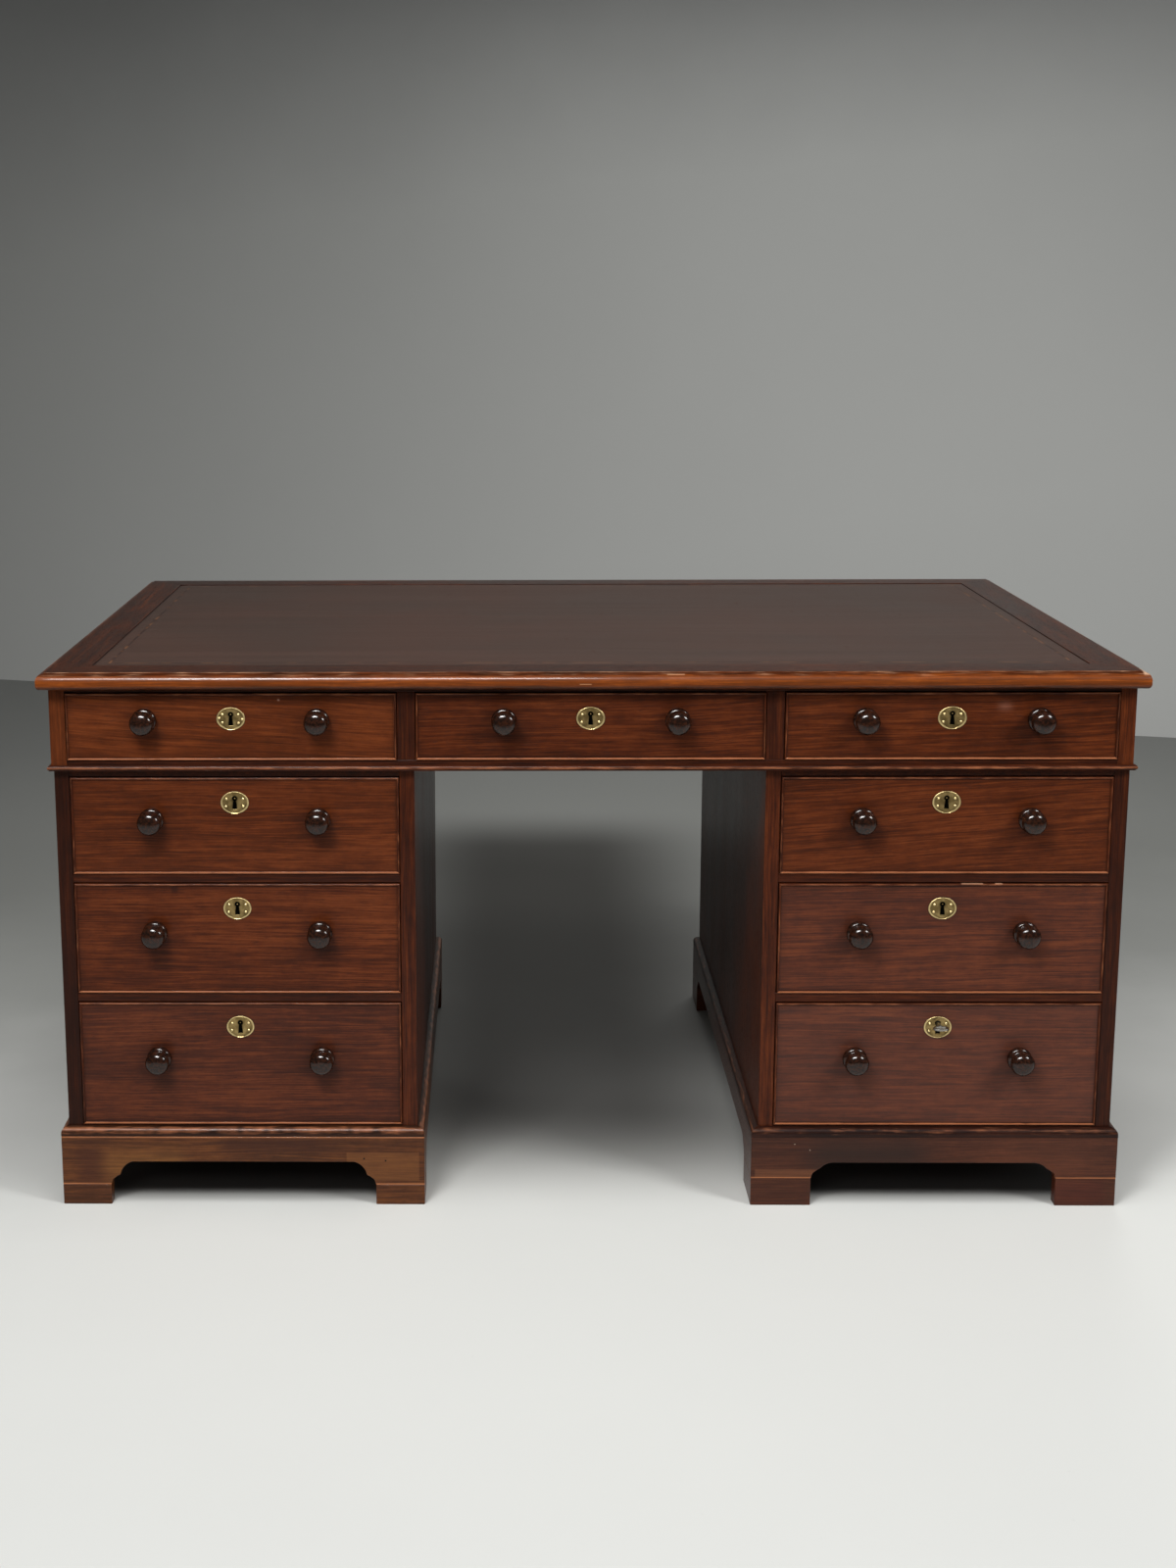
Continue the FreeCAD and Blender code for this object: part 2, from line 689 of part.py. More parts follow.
def plinth(side):
    """Four bracket boards, a moulding on top of them and glue blocks in the corners."""
    foot, tip = side + "_foot", side + "_tip"
    name = side + "_plinth"
    height = ("0", "carcase_under")
    front = bracket_board(name + "_front_bar", "plinth_x", foot, tip, "plinth_thick")
    flank = bracket_board(name + "_flank_bar", "plinth_y", foot, tip, "plinth_thick")
    # A bar is padded towards -Y from Y 0, so its outer face comes at -plinth_thick.
    blanks = mitred_ring(name + "_mitre", "plinth_x", "plinth_y", "plinth_thick", *height)
    placed = (
        ("front", front, ("0", "plinth_thick - plinth_y", "0"), NO_TURN),
        ("back", front, ("0", "plinth_y - plinth_thick", "0"), HALF_TURN),
        ("left", flank, ("plinth_thick - plinth_x", "0", "0"), TO_LEFT),
        ("right", flank, ("plinth_x - plinth_thick", "0", "0"), TO_RIGHT),
    )
    boards = []
    for (where, bar, place, turn), blank in zip(placed, blanks):
        run = copy_of(f"{name}_{where}_run", bar, place, turn)
        boards.append(common(f"{name}_{where}", run, blank))

    ovolo = (
        ("plinth_proud", "carcase_under"),
        ("plinth_proud", "plinth_height"),
        ("moulding_round", "plinth_height", "moulding_round"),
        ("0", "plinth_height - moulding_round"),
        ("0", "carcase_under"),
    )
    long_bar = padded(name + "_ovolo_front", "YZ_Plane", ovolo, "2 * plinth_x", True)
    short_bar = padded(name + "_ovolo_flank", "YZ_Plane", ovolo, "2 * plinth_y", True)
    moulding = moulded_ring(name + "_ovolo", long_bar, short_bar, "plinth_x", "plinth_y",
                            "plinth_proud", "carcase_under", "plinth_height")

    blocks = []
    for corner, sx, sy in CORNERS:
        blocks.append(board(f"{name}_block_{corner}",
                            (corner_low(sx, "plinth_x - plinth_thick", "glue_block"),
                             corner_low(sy, "plinth_y - plinth_thick", "glue_block"),
                             "block_lift"),
                            ("glue_block", "glue_block", "carcase_under - block_lift")))
    return boards + moulding + blocks


CORNERS = (("front_west", -1, -1), ("front_east", 1, -1),
           ("back_west", -1, 1), ("back_east", 1, 1))


def corner_low(sign, reach, size):
    """The low edge of something of a size whose outer edge is at a reach, either way."""
    return f"{reach} - {size}" if sign > 0 else f"-({reach})"


def foot_tips(side):
    """The tip of each foot: an L of two pieces' width round its corner."""
    foot, tip = side + "_foot", side + "_tip"
    tips = []
    for corner, sx, sy in CORNERS:
        name = f"{side}_tip_{corner}"
        outer = board(name + "_outer",
                      (corner_low(sx, "plinth_x", foot), corner_low(sy, "plinth_y", foot), "0"),
                      (foot, foot, tip))
        inner = board(name + "_inner",
                      (corner_low(sx, "plinth_x - plinth_thick", foot),
                       corner_low(sy, "plinth_y - plinth_thick", foot), f"-{PAST}"),
                      (foot, foot, f"{tip} + 2 * {PAST}"))
        tips.append(cut(name, outer, [inner]))
    return tips


# ---------------------------------------------------------------- fittings

def make_knob():
    """A turned knob that stands out towards -Y from its seat at Y 0."""
    return turned("knob", (
        ("knob_collar", "0"),
        ("knob_neck", "-neck_proud"),
        ("knob_head", "-head_back"),
        ("knob_rim", "-head_front"),
        ("knob_face", "-knob_proud"),
    ), KNOB_FLAT_COUNT)


def keyhole(name, front, back):
    """A keyhole's void: a round head over a slot, from one Y to another."""
    radius, half_slot = value("keyhole_head / 2"), value("keyhole_slot / 2")
    foot = radius - value("keyhole_length")
    start = -math.pi / 2 + math.asin(half_slot / radius)
    sweep = 2 * math.pi - 2 * math.asin(half_slot / radius)
    points = [Vector(-half_slot, 0, foot), Vector(half_slot, 0, foot)]
    for step in range(HOLE_FLAT_COUNT + 1):
        angle = start + sweep * step / HOLE_FLAT_COUNT
        points.append(Vector(radius * math.cos(angle), 0, radius * math.sin(angle)))
    depth = value(back) - value(front)
    return solid_of(name, prism(points, Vector(0, depth, 0)), Vector(0, value(front), 0))


def make_escutcheon():
    """An oval brass plate with a keyhole, its back at Y 0. The keyhole's head is at 0."""
    outline = oval(value("plate_width"), value("plate_height"), PLATE_FLAT_COUNT)
    drop = value("keyhole_length / 2 - keyhole_head / 2")
    plate = solid_of("plate_blank", prism(outline, Vector(0, -value("plate_thick"), 0)),
                     Vector(0, 0, -drop))
    return cut("escutcheon", plate,
               [keyhole("plate_hole", f"-plate_thick - {PAST}", f"{PAST}")])


# The frame of a lock has the head of its keyhole at X 0, Z 0 and the face of the
# drawer's front at Y 0. Its case lies in the back of that front.
CASE_FRONT = "(front_thick - case_depth)"
CASE_TOP = "keyhole_drop"
CAVITY = "(bit_reach + 2 * bit_play)"
BOLT_FRONT = "(front_thick - case_depth / 2 - bolt_depth / 2)"


def case_blank(name):
    """The space that a lock's case takes in the back of a drawer's front."""
    return board(name, ("-case_width / 2", CASE_FRONT, f"{CASE_TOP} - case_height"),
                 ("case_width", "case_depth", "case_height"))


def make_working_case():
    """The case of the lock that holds the key: room for the bit and for the bolt."""
    hole = keyhole("working_hole", f"{CASE_FRONT} - {PAST}", f"{CASE_FRONT} + case_wall")
    room = board("bit_room", (f"-{CAVITY}", f"{CASE_FRONT} + case_wall", f"-{CAVITY}"),
                 (f"2 * {CAVITY}", "case_depth - 2 * case_wall", f"2 * {CAVITY}"))
    way = board("bolt_way",
                ("-bolt_width / 2 - bolt_gap", f"{BOLT_FRONT} - bolt_gap",
                 f"{CASE_TOP} - bolt_height - bolt_gap"),
                ("bolt_width + 2 * bolt_gap", "bolt_depth + 2 * bolt_gap",
                 f"bolt_height + bolt_gap + {PAST}"))
    return cut("working_case", case_blank("working_blank"), [fuse("room", [hole, room, way])])


def make_bolt():
    """The bolt of the working lock, drawn back: its top is flush with the case."""
    return board("bolt", ("-bolt_width / 2", BOLT_FRONT, f"{CASE_TOP} - bolt_height"),
                 ("bolt_width", "bolt_depth", "bolt_height"))


def make_key():
    """A key with an oval bow, lying flat, its shank through the keyhole."""
    bit_front = f"({CASE_FRONT} + case_wall + bit_play)"
    tip = f"({bit_front} + bit_length + bit_play)"
    shank = rod("key_shank_bar", ("0", tip, "0"), "key_shank / 2",
                f"{tip} + key_proud - bow_length + bow_wire / 2", UPRIGHT)
    bit = board("key_bit", ("0", bit_front, "-bit_thick / 2"),
                ("bit_reach", "bit_length", "bit_thick"))
    wire = value("bow_wire")
    width, length = value("bow_width"), value("bow_length")
    outer, inner = (prism([Vector(p.x, p.z, 0) for p in oval(width - 2 * less,
                                                             length - 2 * less, BOW_FLAT_COUNT)],
                          Vector(0, 0, wire)) for less in (0, wire))
    bow = solid_of("key_bow", outer.cut(inner),
                   Vector(0, -value("key_proud - bow_length / 2"), -wire / 2))
    return fuse("key", [shank, bit, bow])


# ---------------------------------------------------------------- the drawers

def dovetails(name, x, root, tip, low, high, count):
    """Tails on the front end of a drawer side, wider at the tip than at the root."""
    pitch = f"(({high} - ({low})) / {count})"
    length = f"({root} - {tip})"
    tails = []
    for number in range(count):
        middle = f"({low} + {pitch} * {number + 0.5})"
        wide = f"({pitch} / 2 - pin_width / 2)"
        narrow = f"({wide} - {length} / tail_slope)"
        outer = (tip, x, f"{x} + lining_thick", f"{middle} - {wide}", f"{middle} + {wide}")
        inner = (root, x, f"{x} + lining_thick",
                 f"{middle} - {narrow}", f"{middle} + {narrow}")
        tails.append(wedge(f"{name}_{number}", outer, inner))
    return tails


def drawer(name, width, height, depth, count, pitch, x, face, floor, back, lock):
    """A drawer with dovetailed corners, cock beads, two knobs and a lock.

    It is built about its own frame: X 0 in its middle, Y 0 at its face with the
    box towards +Y, Z 0 at the floor of its opening. The sub-parts' placement puts
    it in the desk. Its sides have tails that seat in sockets of the front, and its
    back and bottom are housed in the sides. The place of its keyhole's head in the
    desk is returned.
    """
    half = f"({width} / 2 - side_gap)"
    low, high = "slide_gap", f"({height} - head_gap)"
    side_high = f"({high} - lining_drop)"
    back_high = f"({side_high} - back_drop)"
    bottom_low = f"({low} + bottom_rise)"
    bottom_high = f"({bottom_low} + bottom_thick)"
    rear = f"({depth} - lining_thick)"

    housed = f"({half} - lining_thick + groove_depth)"
    bottom = board(name + "_bottom",
                   (f"-{housed}", "front_thick - groove_depth", bottom_low),
                   (f"2 * {housed}", f"{depth} - front_thick + groove_depth",
                    "bottom_thick"))
    back_board = board(name + "_back", (f"-{housed}", rear, bottom_high),
                       (f"2 * {housed}", "lining_thick", f"{back_high} - {bottom_high}"))
    sides = []
    for hand, edge in (("west", f"-{half}"), ("east", f"({half} - lining_thick)")):
        stem = board(f"{name}_{hand}_stem", (edge, "front_thick", low),
                     ("lining_thick", f"{depth} - front_thick", f"{side_high} - {low}"))
        tails = dovetails(f"{name}_{hand}_tail", edge, "front_thick", "cock_rebate",
                          low, side_high, count)
        tailed = fuse(f"{name}_{hand}_tailed", [stem] + tails)
        sides.append(cut(f"{name}_{hand}_side", tailed, [bottom, back_board]))

    backing = board(name + "_backing", (f"-{half}", "cock_rebate", low),
                    (f"2 * {half}", "front_thick - cock_rebate", f"{high} - {low}"))
    facing = board(name + "_facing",
                   (f"cock_bead - {half}", "0", f"{low} + cock_bead"),
                   (f"2 * ({half} - cock_bead)", "cock_rebate",
                    f"{high} - {low} - 2 * cock_bead"))
    lock_z = f"({high} - keyhole_drop)"
    recess = copy_of(name + "_recess", MASTERS["case_blank"], ("0", "0", lock_z))
    wood_hole = copy_of(name + "_wood_hole", MASTERS["wood_hole"], ("0", "0", lock_z))
    front = cut(name + "_front_board", fuse(name + "_front_blank", [backing, facing]),
                sides + [bottom, recess, wood_hole])
    beads = upright_ring(name + "_cock", half, low, high, "cock_bead",
                         "-cock_proud", "cock_rebate")
    knob_z = f"({low} + {high}) / 2 + knob_rise"
    knobs = [copy_of(f"{name}_knob_{hand}", MASTERS["knob"], (f"{sign}{pitch} / 2", "0", knob_z))
             for hand, sign in (("west", "-"), ("east", ""))]
    plate = copy_of(name + "_plate", MASTERS["escutcheon"], ("0", "0", lock_z))
    case = copy_of(name + "_case", MASTERS[lock], ("0", "0", lock_z))

    place = (x, face if back else f"-{face}", floor)
    turn = HALF_TURN if back else NO_TURN
    sub_part(name + "_front", [front] + beads + knobs, place, turn)
    sub_part(name + "_box", sides + [back_board, bottom], place, turn)
    sub_part(name + "_lock", [plate, case], place, turn)
    return (place[0], place[1], f"{floor} + {lock_z}")


# ---------------------------------------------------------------- the doors

def door(side, hinge_sign):
    """A framed and panelled cupboard door, in a drawer's frame, hinged at one side."""
    name = side + "_door"
    half = "(opening_half - door_gap)"
    low, high = "head_gap", "(cupboard_height - head_gap)"
    sight = f"({half} - stile_width)"
    tall = f"({high} - {low})"
    stiles = []
    hinges = hinge_pieces(name, hinge_sign)
    for hand, edge in (("west", f"-{half}"), ("east", f"{half} - stile_width")):
        stile = board(f"{name}_{hand}_stile", (edge, "0", low),
                      ("stile_width", "door_thick", tall))
        if (hand == "east") == (hinge_sign > 0):
            stile = cut(f"{name}_{hand}_hung", stile, hinges["door_seats"])
        stiles.append(stile)
    rails = [board(f"{name}_{level}_rail", (f"-{sight}", "0", z),
                   (f"2 * {sight}", "door_thick", "stile_width"))
             for level, z in (("low", low), ("top", f"{high} - stile_width"))]
    panel = board(name + "_panel", (f"-{sight}", "panel_sink", f"{low} + stile_width"),
                  (f"2 * {sight}", "panel_thick", f"{tall} - 2 * stile_width"))
    latch = "-" if hinge_sign > 0 else ""
    latch_x = f"{latch}({half} - stile_width / 2)"
    middle = "(cupboard_height / 2)"
    knob = copy_of(name + "_knob", MASTERS["knob"], (latch_x, "0", f"{middle} - door_knob_rise"))
    lock_z = f"({middle} + door_knob_rise + keyhole_length)"
    plate = copy_of(name + "_plate", MASTERS["escutcheon"], (latch_x, "0", lock_z))
    x = ("-" if side == "left" else "") + "pedestal_x"
    place = (x, "pedestal_face", "base_top")
    sub_part(name, stiles + rails + [panel, knob], place, HALF_TURN)
    sub_part(name + "_brass", hinges["door"] + [plate], place, HALF_TURN)
    sub_part(side + "_hinges", hinges["fixed"], place, HALF_TURN)
    return hinges["wall_seats"]


def hinge_pieces(name, sign):
    """Two brass butt hinges: the leaves, the pins and the seats that they are let into.

    The knuckles stand just outside the face. Each hinge has two fixed knuckles with
    the door's knuckle between them, on a pin held by the fixed ones.
    """
    found = {"fixed": [], "door": [], "door_seats": [], "wall_seats": []}
    gap_middle = "(opening_half - door_gap / 2)"
    axis_x = gap_middle if sign > 0 else f"-{gap_middle}"
    third = "(hinge_height / 3)"
    levels = (("low", "hinge_inset"), ("top", "(cupboard_height - hinge_inset - hinge_height)"))
    for level, floor in levels:
        stem = f"{name}_{level}"
        tall = ("leaf_thick", "leaf_width + knuckle_radius", "hinge_height")
        # Towards the wall the leaf's low X is just past the middle of the gap.
        wall_x, door_x = (("knuckle_play / 2", "-knuckle_play / 2 - leaf_thick") if sign > 0
                          else ("-knuckle_play / 2 - leaf_thick", "knuckle_play / 2"))
        wall_leaf = board(stem + "_wall_leaf",
                          (f"{axis_x} + ({wall_x})", "-knuckle_radius", floor), tall)
        door_leaf = board(stem + "_door_leaf",
                          (f"{axis_x} + ({door_x})", "-knuckle_radius", floor), tall)
        found["wall_seats"].append(board(
            stem + "_wall_seat", (f"{axis_x} + ({wall_x})", "0", floor),
            ("leaf_thick", "leaf_width", "hinge_height")))
        found["door_seats"].append(board(
            stem + "_door_seat", (f"{axis_x} + ({door_x})", "0", floor),
            ("leaf_thick", "leaf_width", "hinge_height")))
        axis = (axis_x, "-knuckle_radius")
        pin = rod(stem + "_pin", axis + (floor,), "pin_radius", "hinge_height")
        lower = knuckle(stem + "_knuckle_low", axis + (floor,), "knuckle_radius",
                        f"{third} - knuckle_play")
        upper = knuckle(stem + "_knuckle_top",
                        axis + (f"{floor} + 2 * {third} + knuckle_play",),
                        "knuckle_radius", f"{third} - knuckle_play")
        swing = f"({axis_x} - knuckle_radius - knuckle_play)"
        reach = ("2 * (knuckle_radius + knuckle_play)",) * 2
        across = (swing, "-2 * knuckle_radius - knuckle_play")
        gap = board(stem + "_leaf_gap", across + (f"{floor} + {third} - knuckle_play",),
                    reach + (f"{third} + 2 * knuckle_play",))
        wall_part = cut(stem + "_wall_part", wall_leaf, [gap])
        found["fixed"].append(fuse(stem + "_fixed", [wall_part, lower, upper, pin]))
        middle = knuckle(stem + "_knuckle_middle", axis + (f"{floor} + {third}",),
                         "knuckle_radius", third)
        bore = rod(stem + "_bore", axis + (f"{floor} - {PAST}",),
                   "pin_radius + pin_play", f"hinge_height + 2 * {PAST}")
        low_room = board(stem + "_low_room", across + (floor,), reach + (third,))
        top_room = board(stem + "_top_room", across + (f"{floor} + 2 * {third}",),
                         reach + (third,))
        door_part = cut(stem + "_door_part", door_leaf, [low_room, top_room])
        found["door"].append(cut(stem + "_moving",
                                 fuse(stem + "_moving_blank", [door_part, middle]), [bore]))
    return found


# ---------------------------------------------------------------- the whole desk

MASTERS = {
    "knob": make_knob(),
    "escutcheon": make_escutcheon(),
    "case_blank": case_blank("case_space"),
    "wood_hole": keyhole("wood_hole", f"-{PAST}", CASE_FRONT),
    "plain_case": case_blank("plain_case"),
    "working_case": make_working_case(),
}

top()
frieze()

FRIEZE_TAILS = round(value("frieze_tails"))
PEDESTAL_TAILS = round(value("pedestal_tails"))
for row, back in (("frieze", False), ("back", True)):
    for column, x, width in (("left", "-flank_x", "flank_opening"),
                             ("centre", "0", "centre_opening"),
                             ("right", "flank_x", "flank_opening")):
        drawer(f"{row}_{column}", width, "frieze_opening", "frieze_drawer_depth",
               FRIEZE_TAILS, "frieze_knob_pitch", x, "frieze_face", "frieze_floor",
               back, "plain_case")

LEVELS = (("upper", "upper_opening", "upper_floor"),
          ("middle", "middle_opening", "middle_floor"),
          ("lower", "lower_opening", "base_top"))
for side, x in (("left", "-pedestal_x"), ("right", "pedestal_x")):
    for level, height, floor in LEVELS:
        with_key = (side, level) == ("right", "lower")
        keyhole_place = drawer(
            f"{side}_{level}", "pedestal_opening", height, "pedestal_drawer_depth",
            PEDESTAL_TAILS, "pedestal_knob_pitch", x, "pedestal_face", floor, False,
            "working_case" if with_key else "plain_case")
        if with_key:
            sub_part("drawer_key", [make_key()], keyhole_place)
            sub_part("lock_bolt", [make_bolt()], keyhole_place)

for side, hinge_sign in (("left", 1), ("right", -1)):
    x = ("-" if side == "left" else "") + "pedestal_x"
    place = (x, "0", "0")
    seats = door(side, hinge_sign)
    walls, cap, base, rails = pedestal_carcase(side)
    # The door's frame is half a turn from the pedestal's, so the seats are turned.
    turned_seats = [copy_of(seat.Name + "_placed", seat,
                            ("0", "pedestal_face", "base_top"), HALF_TURN) for seat in seats]
    hung = 0 if side == "left" else 1
    walls[hung] = cut(f"{side}_carcase_hung", walls[hung], turned_seats)
    if side == "right":
        mortise = board("bolt_mortise",
                        ("-bolt_width / 2 - bolt_gap",
                         f"{BOLT_FRONT} - bolt_gap - pedestal_face",
                         f"lower_head - {PAST}"),
                        ("bolt_width + 2 * bolt_gap", "bolt_depth + 2 * bolt_gap",
                         f"bolt_throw - head_gap + mortise_spare + {PAST}"))
        rails[1] = cut("right_carcase_lower_mortised", rails[1], [mortise])
    sub_part(side + "_carcase", walls + [cap, base] + rails, place)
    # A back door on the left pedestal latches at the kneehole, on the pedestal's east.
    sub_part(side + "_inner", pedestal_inner(side, 1 if side == "left" else -1), place)
    sub_part(side + "_plinth", plinth(side), place)
    sub_part(side + "_foot_tips", foot_tips(side), place)

doc.recompute()

# ---------------------------------------------------------------- checks and files

failed = [thing.Name for thing in doc.Objects
          if "Invalid" in thing.State or "Error" in thing.State]
for part in SUB_PARTS:
    if part.Shape.isNull() or not part.Shape.isValid():
        failed.append(part.Label)
if failed:
    raise RuntimeError("these did not build: " + ", ".join(failed))

os.makedirs("parts", exist_ok=True)
for part in SUB_PARTS:
    part.Shape.exportStep(f"parts/{part.Label}.step")
print(len(SUB_PARTS), "sub-parts,", sum(len(part.Shape.Solids) for part in SUB_PARTS), "solids")
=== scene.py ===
# %% [markdown]
# # Dressing a partners desk
# A partners desk is worked at from both sides: a leather-lined top and a frieze of drawers stand on
# two pedestals. The packed frame already holds every board, drawer, lock and hinge as a plain solid,
# on the body that moves it. This lesson gives those solids their looks. Each piece is either a surface
# worked out with numpy or a softened copy of the solid itself, and each finish is a node material.

# %% Load the frame and keep its box
import bmesh
import bpy
import numpy as np
from mathutils import Matrix, Vector


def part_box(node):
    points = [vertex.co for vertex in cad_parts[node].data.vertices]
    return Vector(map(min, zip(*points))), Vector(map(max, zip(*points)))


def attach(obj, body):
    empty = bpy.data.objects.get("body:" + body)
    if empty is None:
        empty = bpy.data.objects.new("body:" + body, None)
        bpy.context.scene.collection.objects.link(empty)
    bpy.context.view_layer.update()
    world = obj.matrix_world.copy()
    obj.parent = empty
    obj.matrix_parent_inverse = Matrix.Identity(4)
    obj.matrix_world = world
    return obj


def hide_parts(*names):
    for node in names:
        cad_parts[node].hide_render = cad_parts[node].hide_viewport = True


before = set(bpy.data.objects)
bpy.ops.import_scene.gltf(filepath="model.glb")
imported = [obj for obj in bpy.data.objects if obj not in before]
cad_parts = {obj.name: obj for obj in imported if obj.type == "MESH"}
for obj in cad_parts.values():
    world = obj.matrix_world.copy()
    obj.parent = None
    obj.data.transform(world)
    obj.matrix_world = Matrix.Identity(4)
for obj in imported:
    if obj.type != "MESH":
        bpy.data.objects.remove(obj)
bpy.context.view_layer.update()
MM = 0.001

# %% [markdown]
# ## Shader sums
# A finish is mostly arithmetic on patterns: a streak times a strength, one minus a mask. Written as
# separate nodes it is hard to read, so a small class wraps one output socket and lets Python's own
# operators add the Math nodes. Every other node comes from one method of the finish it belongs to.

# %% Value: a socket that can be added and multiplied
class Value:
    """One number coming out of a shader node. Sums with numbers or other Values add Math nodes."""

    def __init__(self, finish, socket):
        self.finish, self.socket = finish, socket

    def math(self, operation, first, second):
        return self.finish.node("Math", {"operation": operation}, {0: first, 1: second})

    def __add__(self, other): return self.math("ADD", self, other)
    def __sub__(self, other): return self.math("SUBTRACT", self, other)
    def __rsub__(self, other): return self.math("SUBTRACT", other, self)
    def __mul__(self, other): return self.math("MULTIPLY", self, other)
    def __rmul__(self, other): return self.math("MULTIPLY", other, self)
    def __truediv__(self, other): return self.math("DIVIDE", self, other)
    def __abs__(self): return self.math("ABSOLUTE", self, 0.0)

    def over(self, low, high):
        """0 at low, 1 at high and a smooth rise between them."""
        return self.finish.node("MapRange", {"interpolation_type": "SMOOTHSTEP"},
                                {0: self, 1: low, 2: high, 3: 0.0, 4: 1.0})

    def least(self, other): return self.math("MINIMUM", self, other)
    def most(self, other): return self.math("MAXIMUM", self, other)


print("a Value has", sum(callable(what) for what in vars(Value).values()), "methods")

# %% Finish: a material in the making
class Finish:
    """A node material in the making, with one method that adds any node."""

    def __init__(self, name):
        self.material = bpy.data.materials.new(name)
        self.material.use_nodes = True
        self.tree = self.material.node_tree
        self.tree.nodes.clear()

    def node(self, kind, settings=None, sockets=None, out=0):
        """Adds a node, sets its settings, then gives its sockets their values or links."""
        made = self.tree.nodes.new("ShaderNode" + kind)
        for key, value in (settings or {}).items():
            if key == "stops":
                ramp = made.color_ramp
                while len(ramp.elements) < len(value):
                    ramp.elements.new(0.5)
                for element, (place, colour) in zip(ramp.elements, value):
                    element.position, element.color = place, colour
            else:
                setattr(made, key, value)
        for key, value in (sockets or {}).items():
            if isinstance(value, Value):
                self.tree.links.new(value.socket, made.inputs[key])
            else:
                made.inputs[key].default_value = value
        return Value(self, made.outputs[out] if made.outputs else None)

    def attribute(self, name):
        return self.node("Attribute", {"attribute_name": name}, out=1)

    def parts(self, vector):
        """The three numbers of a vector."""
        first = self.node("SeparateXYZ", sockets={0: vector})
        return [Value(self, socket) for socket in first.socket.node.outputs]

    def vector(self, x, y, z):
        return self.node("CombineXYZ", sockets={0: x, 1: y, 2: z})

    def stretch(self, vector, by, shift=(0.0, 0.0, 0.0)):
        return self.node("Mapping", sockets={0: vector, 1: shift, 3: by})

    def noise(self, vector, scale=1.0, detail=2.0, rough=0.5):
        return self.node("TexNoise", {"noise_dimensions": "3D"},
                         {"Vector": vector, "Scale": scale, "Detail": detail, "Roughness": rough})

    def tint(self, amount, first, second):
        """A colour between two others: the first at amount 0, the second at 1."""
        return self.node("Mix", {"data_type": "RGBA"}, {0: amount, 6: first, 7: second}, out=2)

    def bump(self, height, strength, distance):
        return self.node("Bump", sockets={"Height": height, "Strength": strength, "Distance": distance})

    def surface(self, **sockets):
        """The Principled shader with its sockets, joined to the material's output."""
        names = {key.replace("_", " "): value for key, value in sockets.items()}
        shader = self.node("BsdfPrincipled", sockets=names)
        self.node("OutputMaterial", sockets={0: shader})
        return self.material


def srgb(red, green, blue):
    """A colour as a screen shows it, 0 to 255, turned into the linear light that a shader takes."""
    share = np.array([red, green, blue]) / 255
    linear = np.where(share <= 0.04045, share / 12.92, ((share + 0.055) / 1.055) ** 2.4)
    return (*linear.tolist(), 1.0)


print("a shown grey of 128 is", round(srgb(128, 128, 128)[0], 3), "of full light")

# %% [markdown]
# ## Polished mahogany
# Old French-polished mahogany is a warm red-brown with fine darker streaks that run along the board,
# short dark pores, broad soft clouds, and worn edges where the polish has rubbed through. A picture
# of wood would do it, but a pattern on the board's own coordinates follows each board's direction.
# So every board carries a vector named grain (along, across and through it, in metres) and one named
# tone (lightness, warmth and wear), and the streaks are noise that is squeezed across the grain.
# Lightness below zero also carries painted shade, and wear on some crests a painted highlight.

# %% The mahogany finish
OPEN_PORE, DARK_BOARD_AND_SHADE = srgb(26, 12, 8), srgb(28, 11, 6)
OLD_AMBER, COOL_BLOOM = srgb(170, 92, 40), srgb(112, 86, 80)
BEHIND_FRONT, ON_FRONT = -0.44, -0.45  # metres; patches show only where y is below these


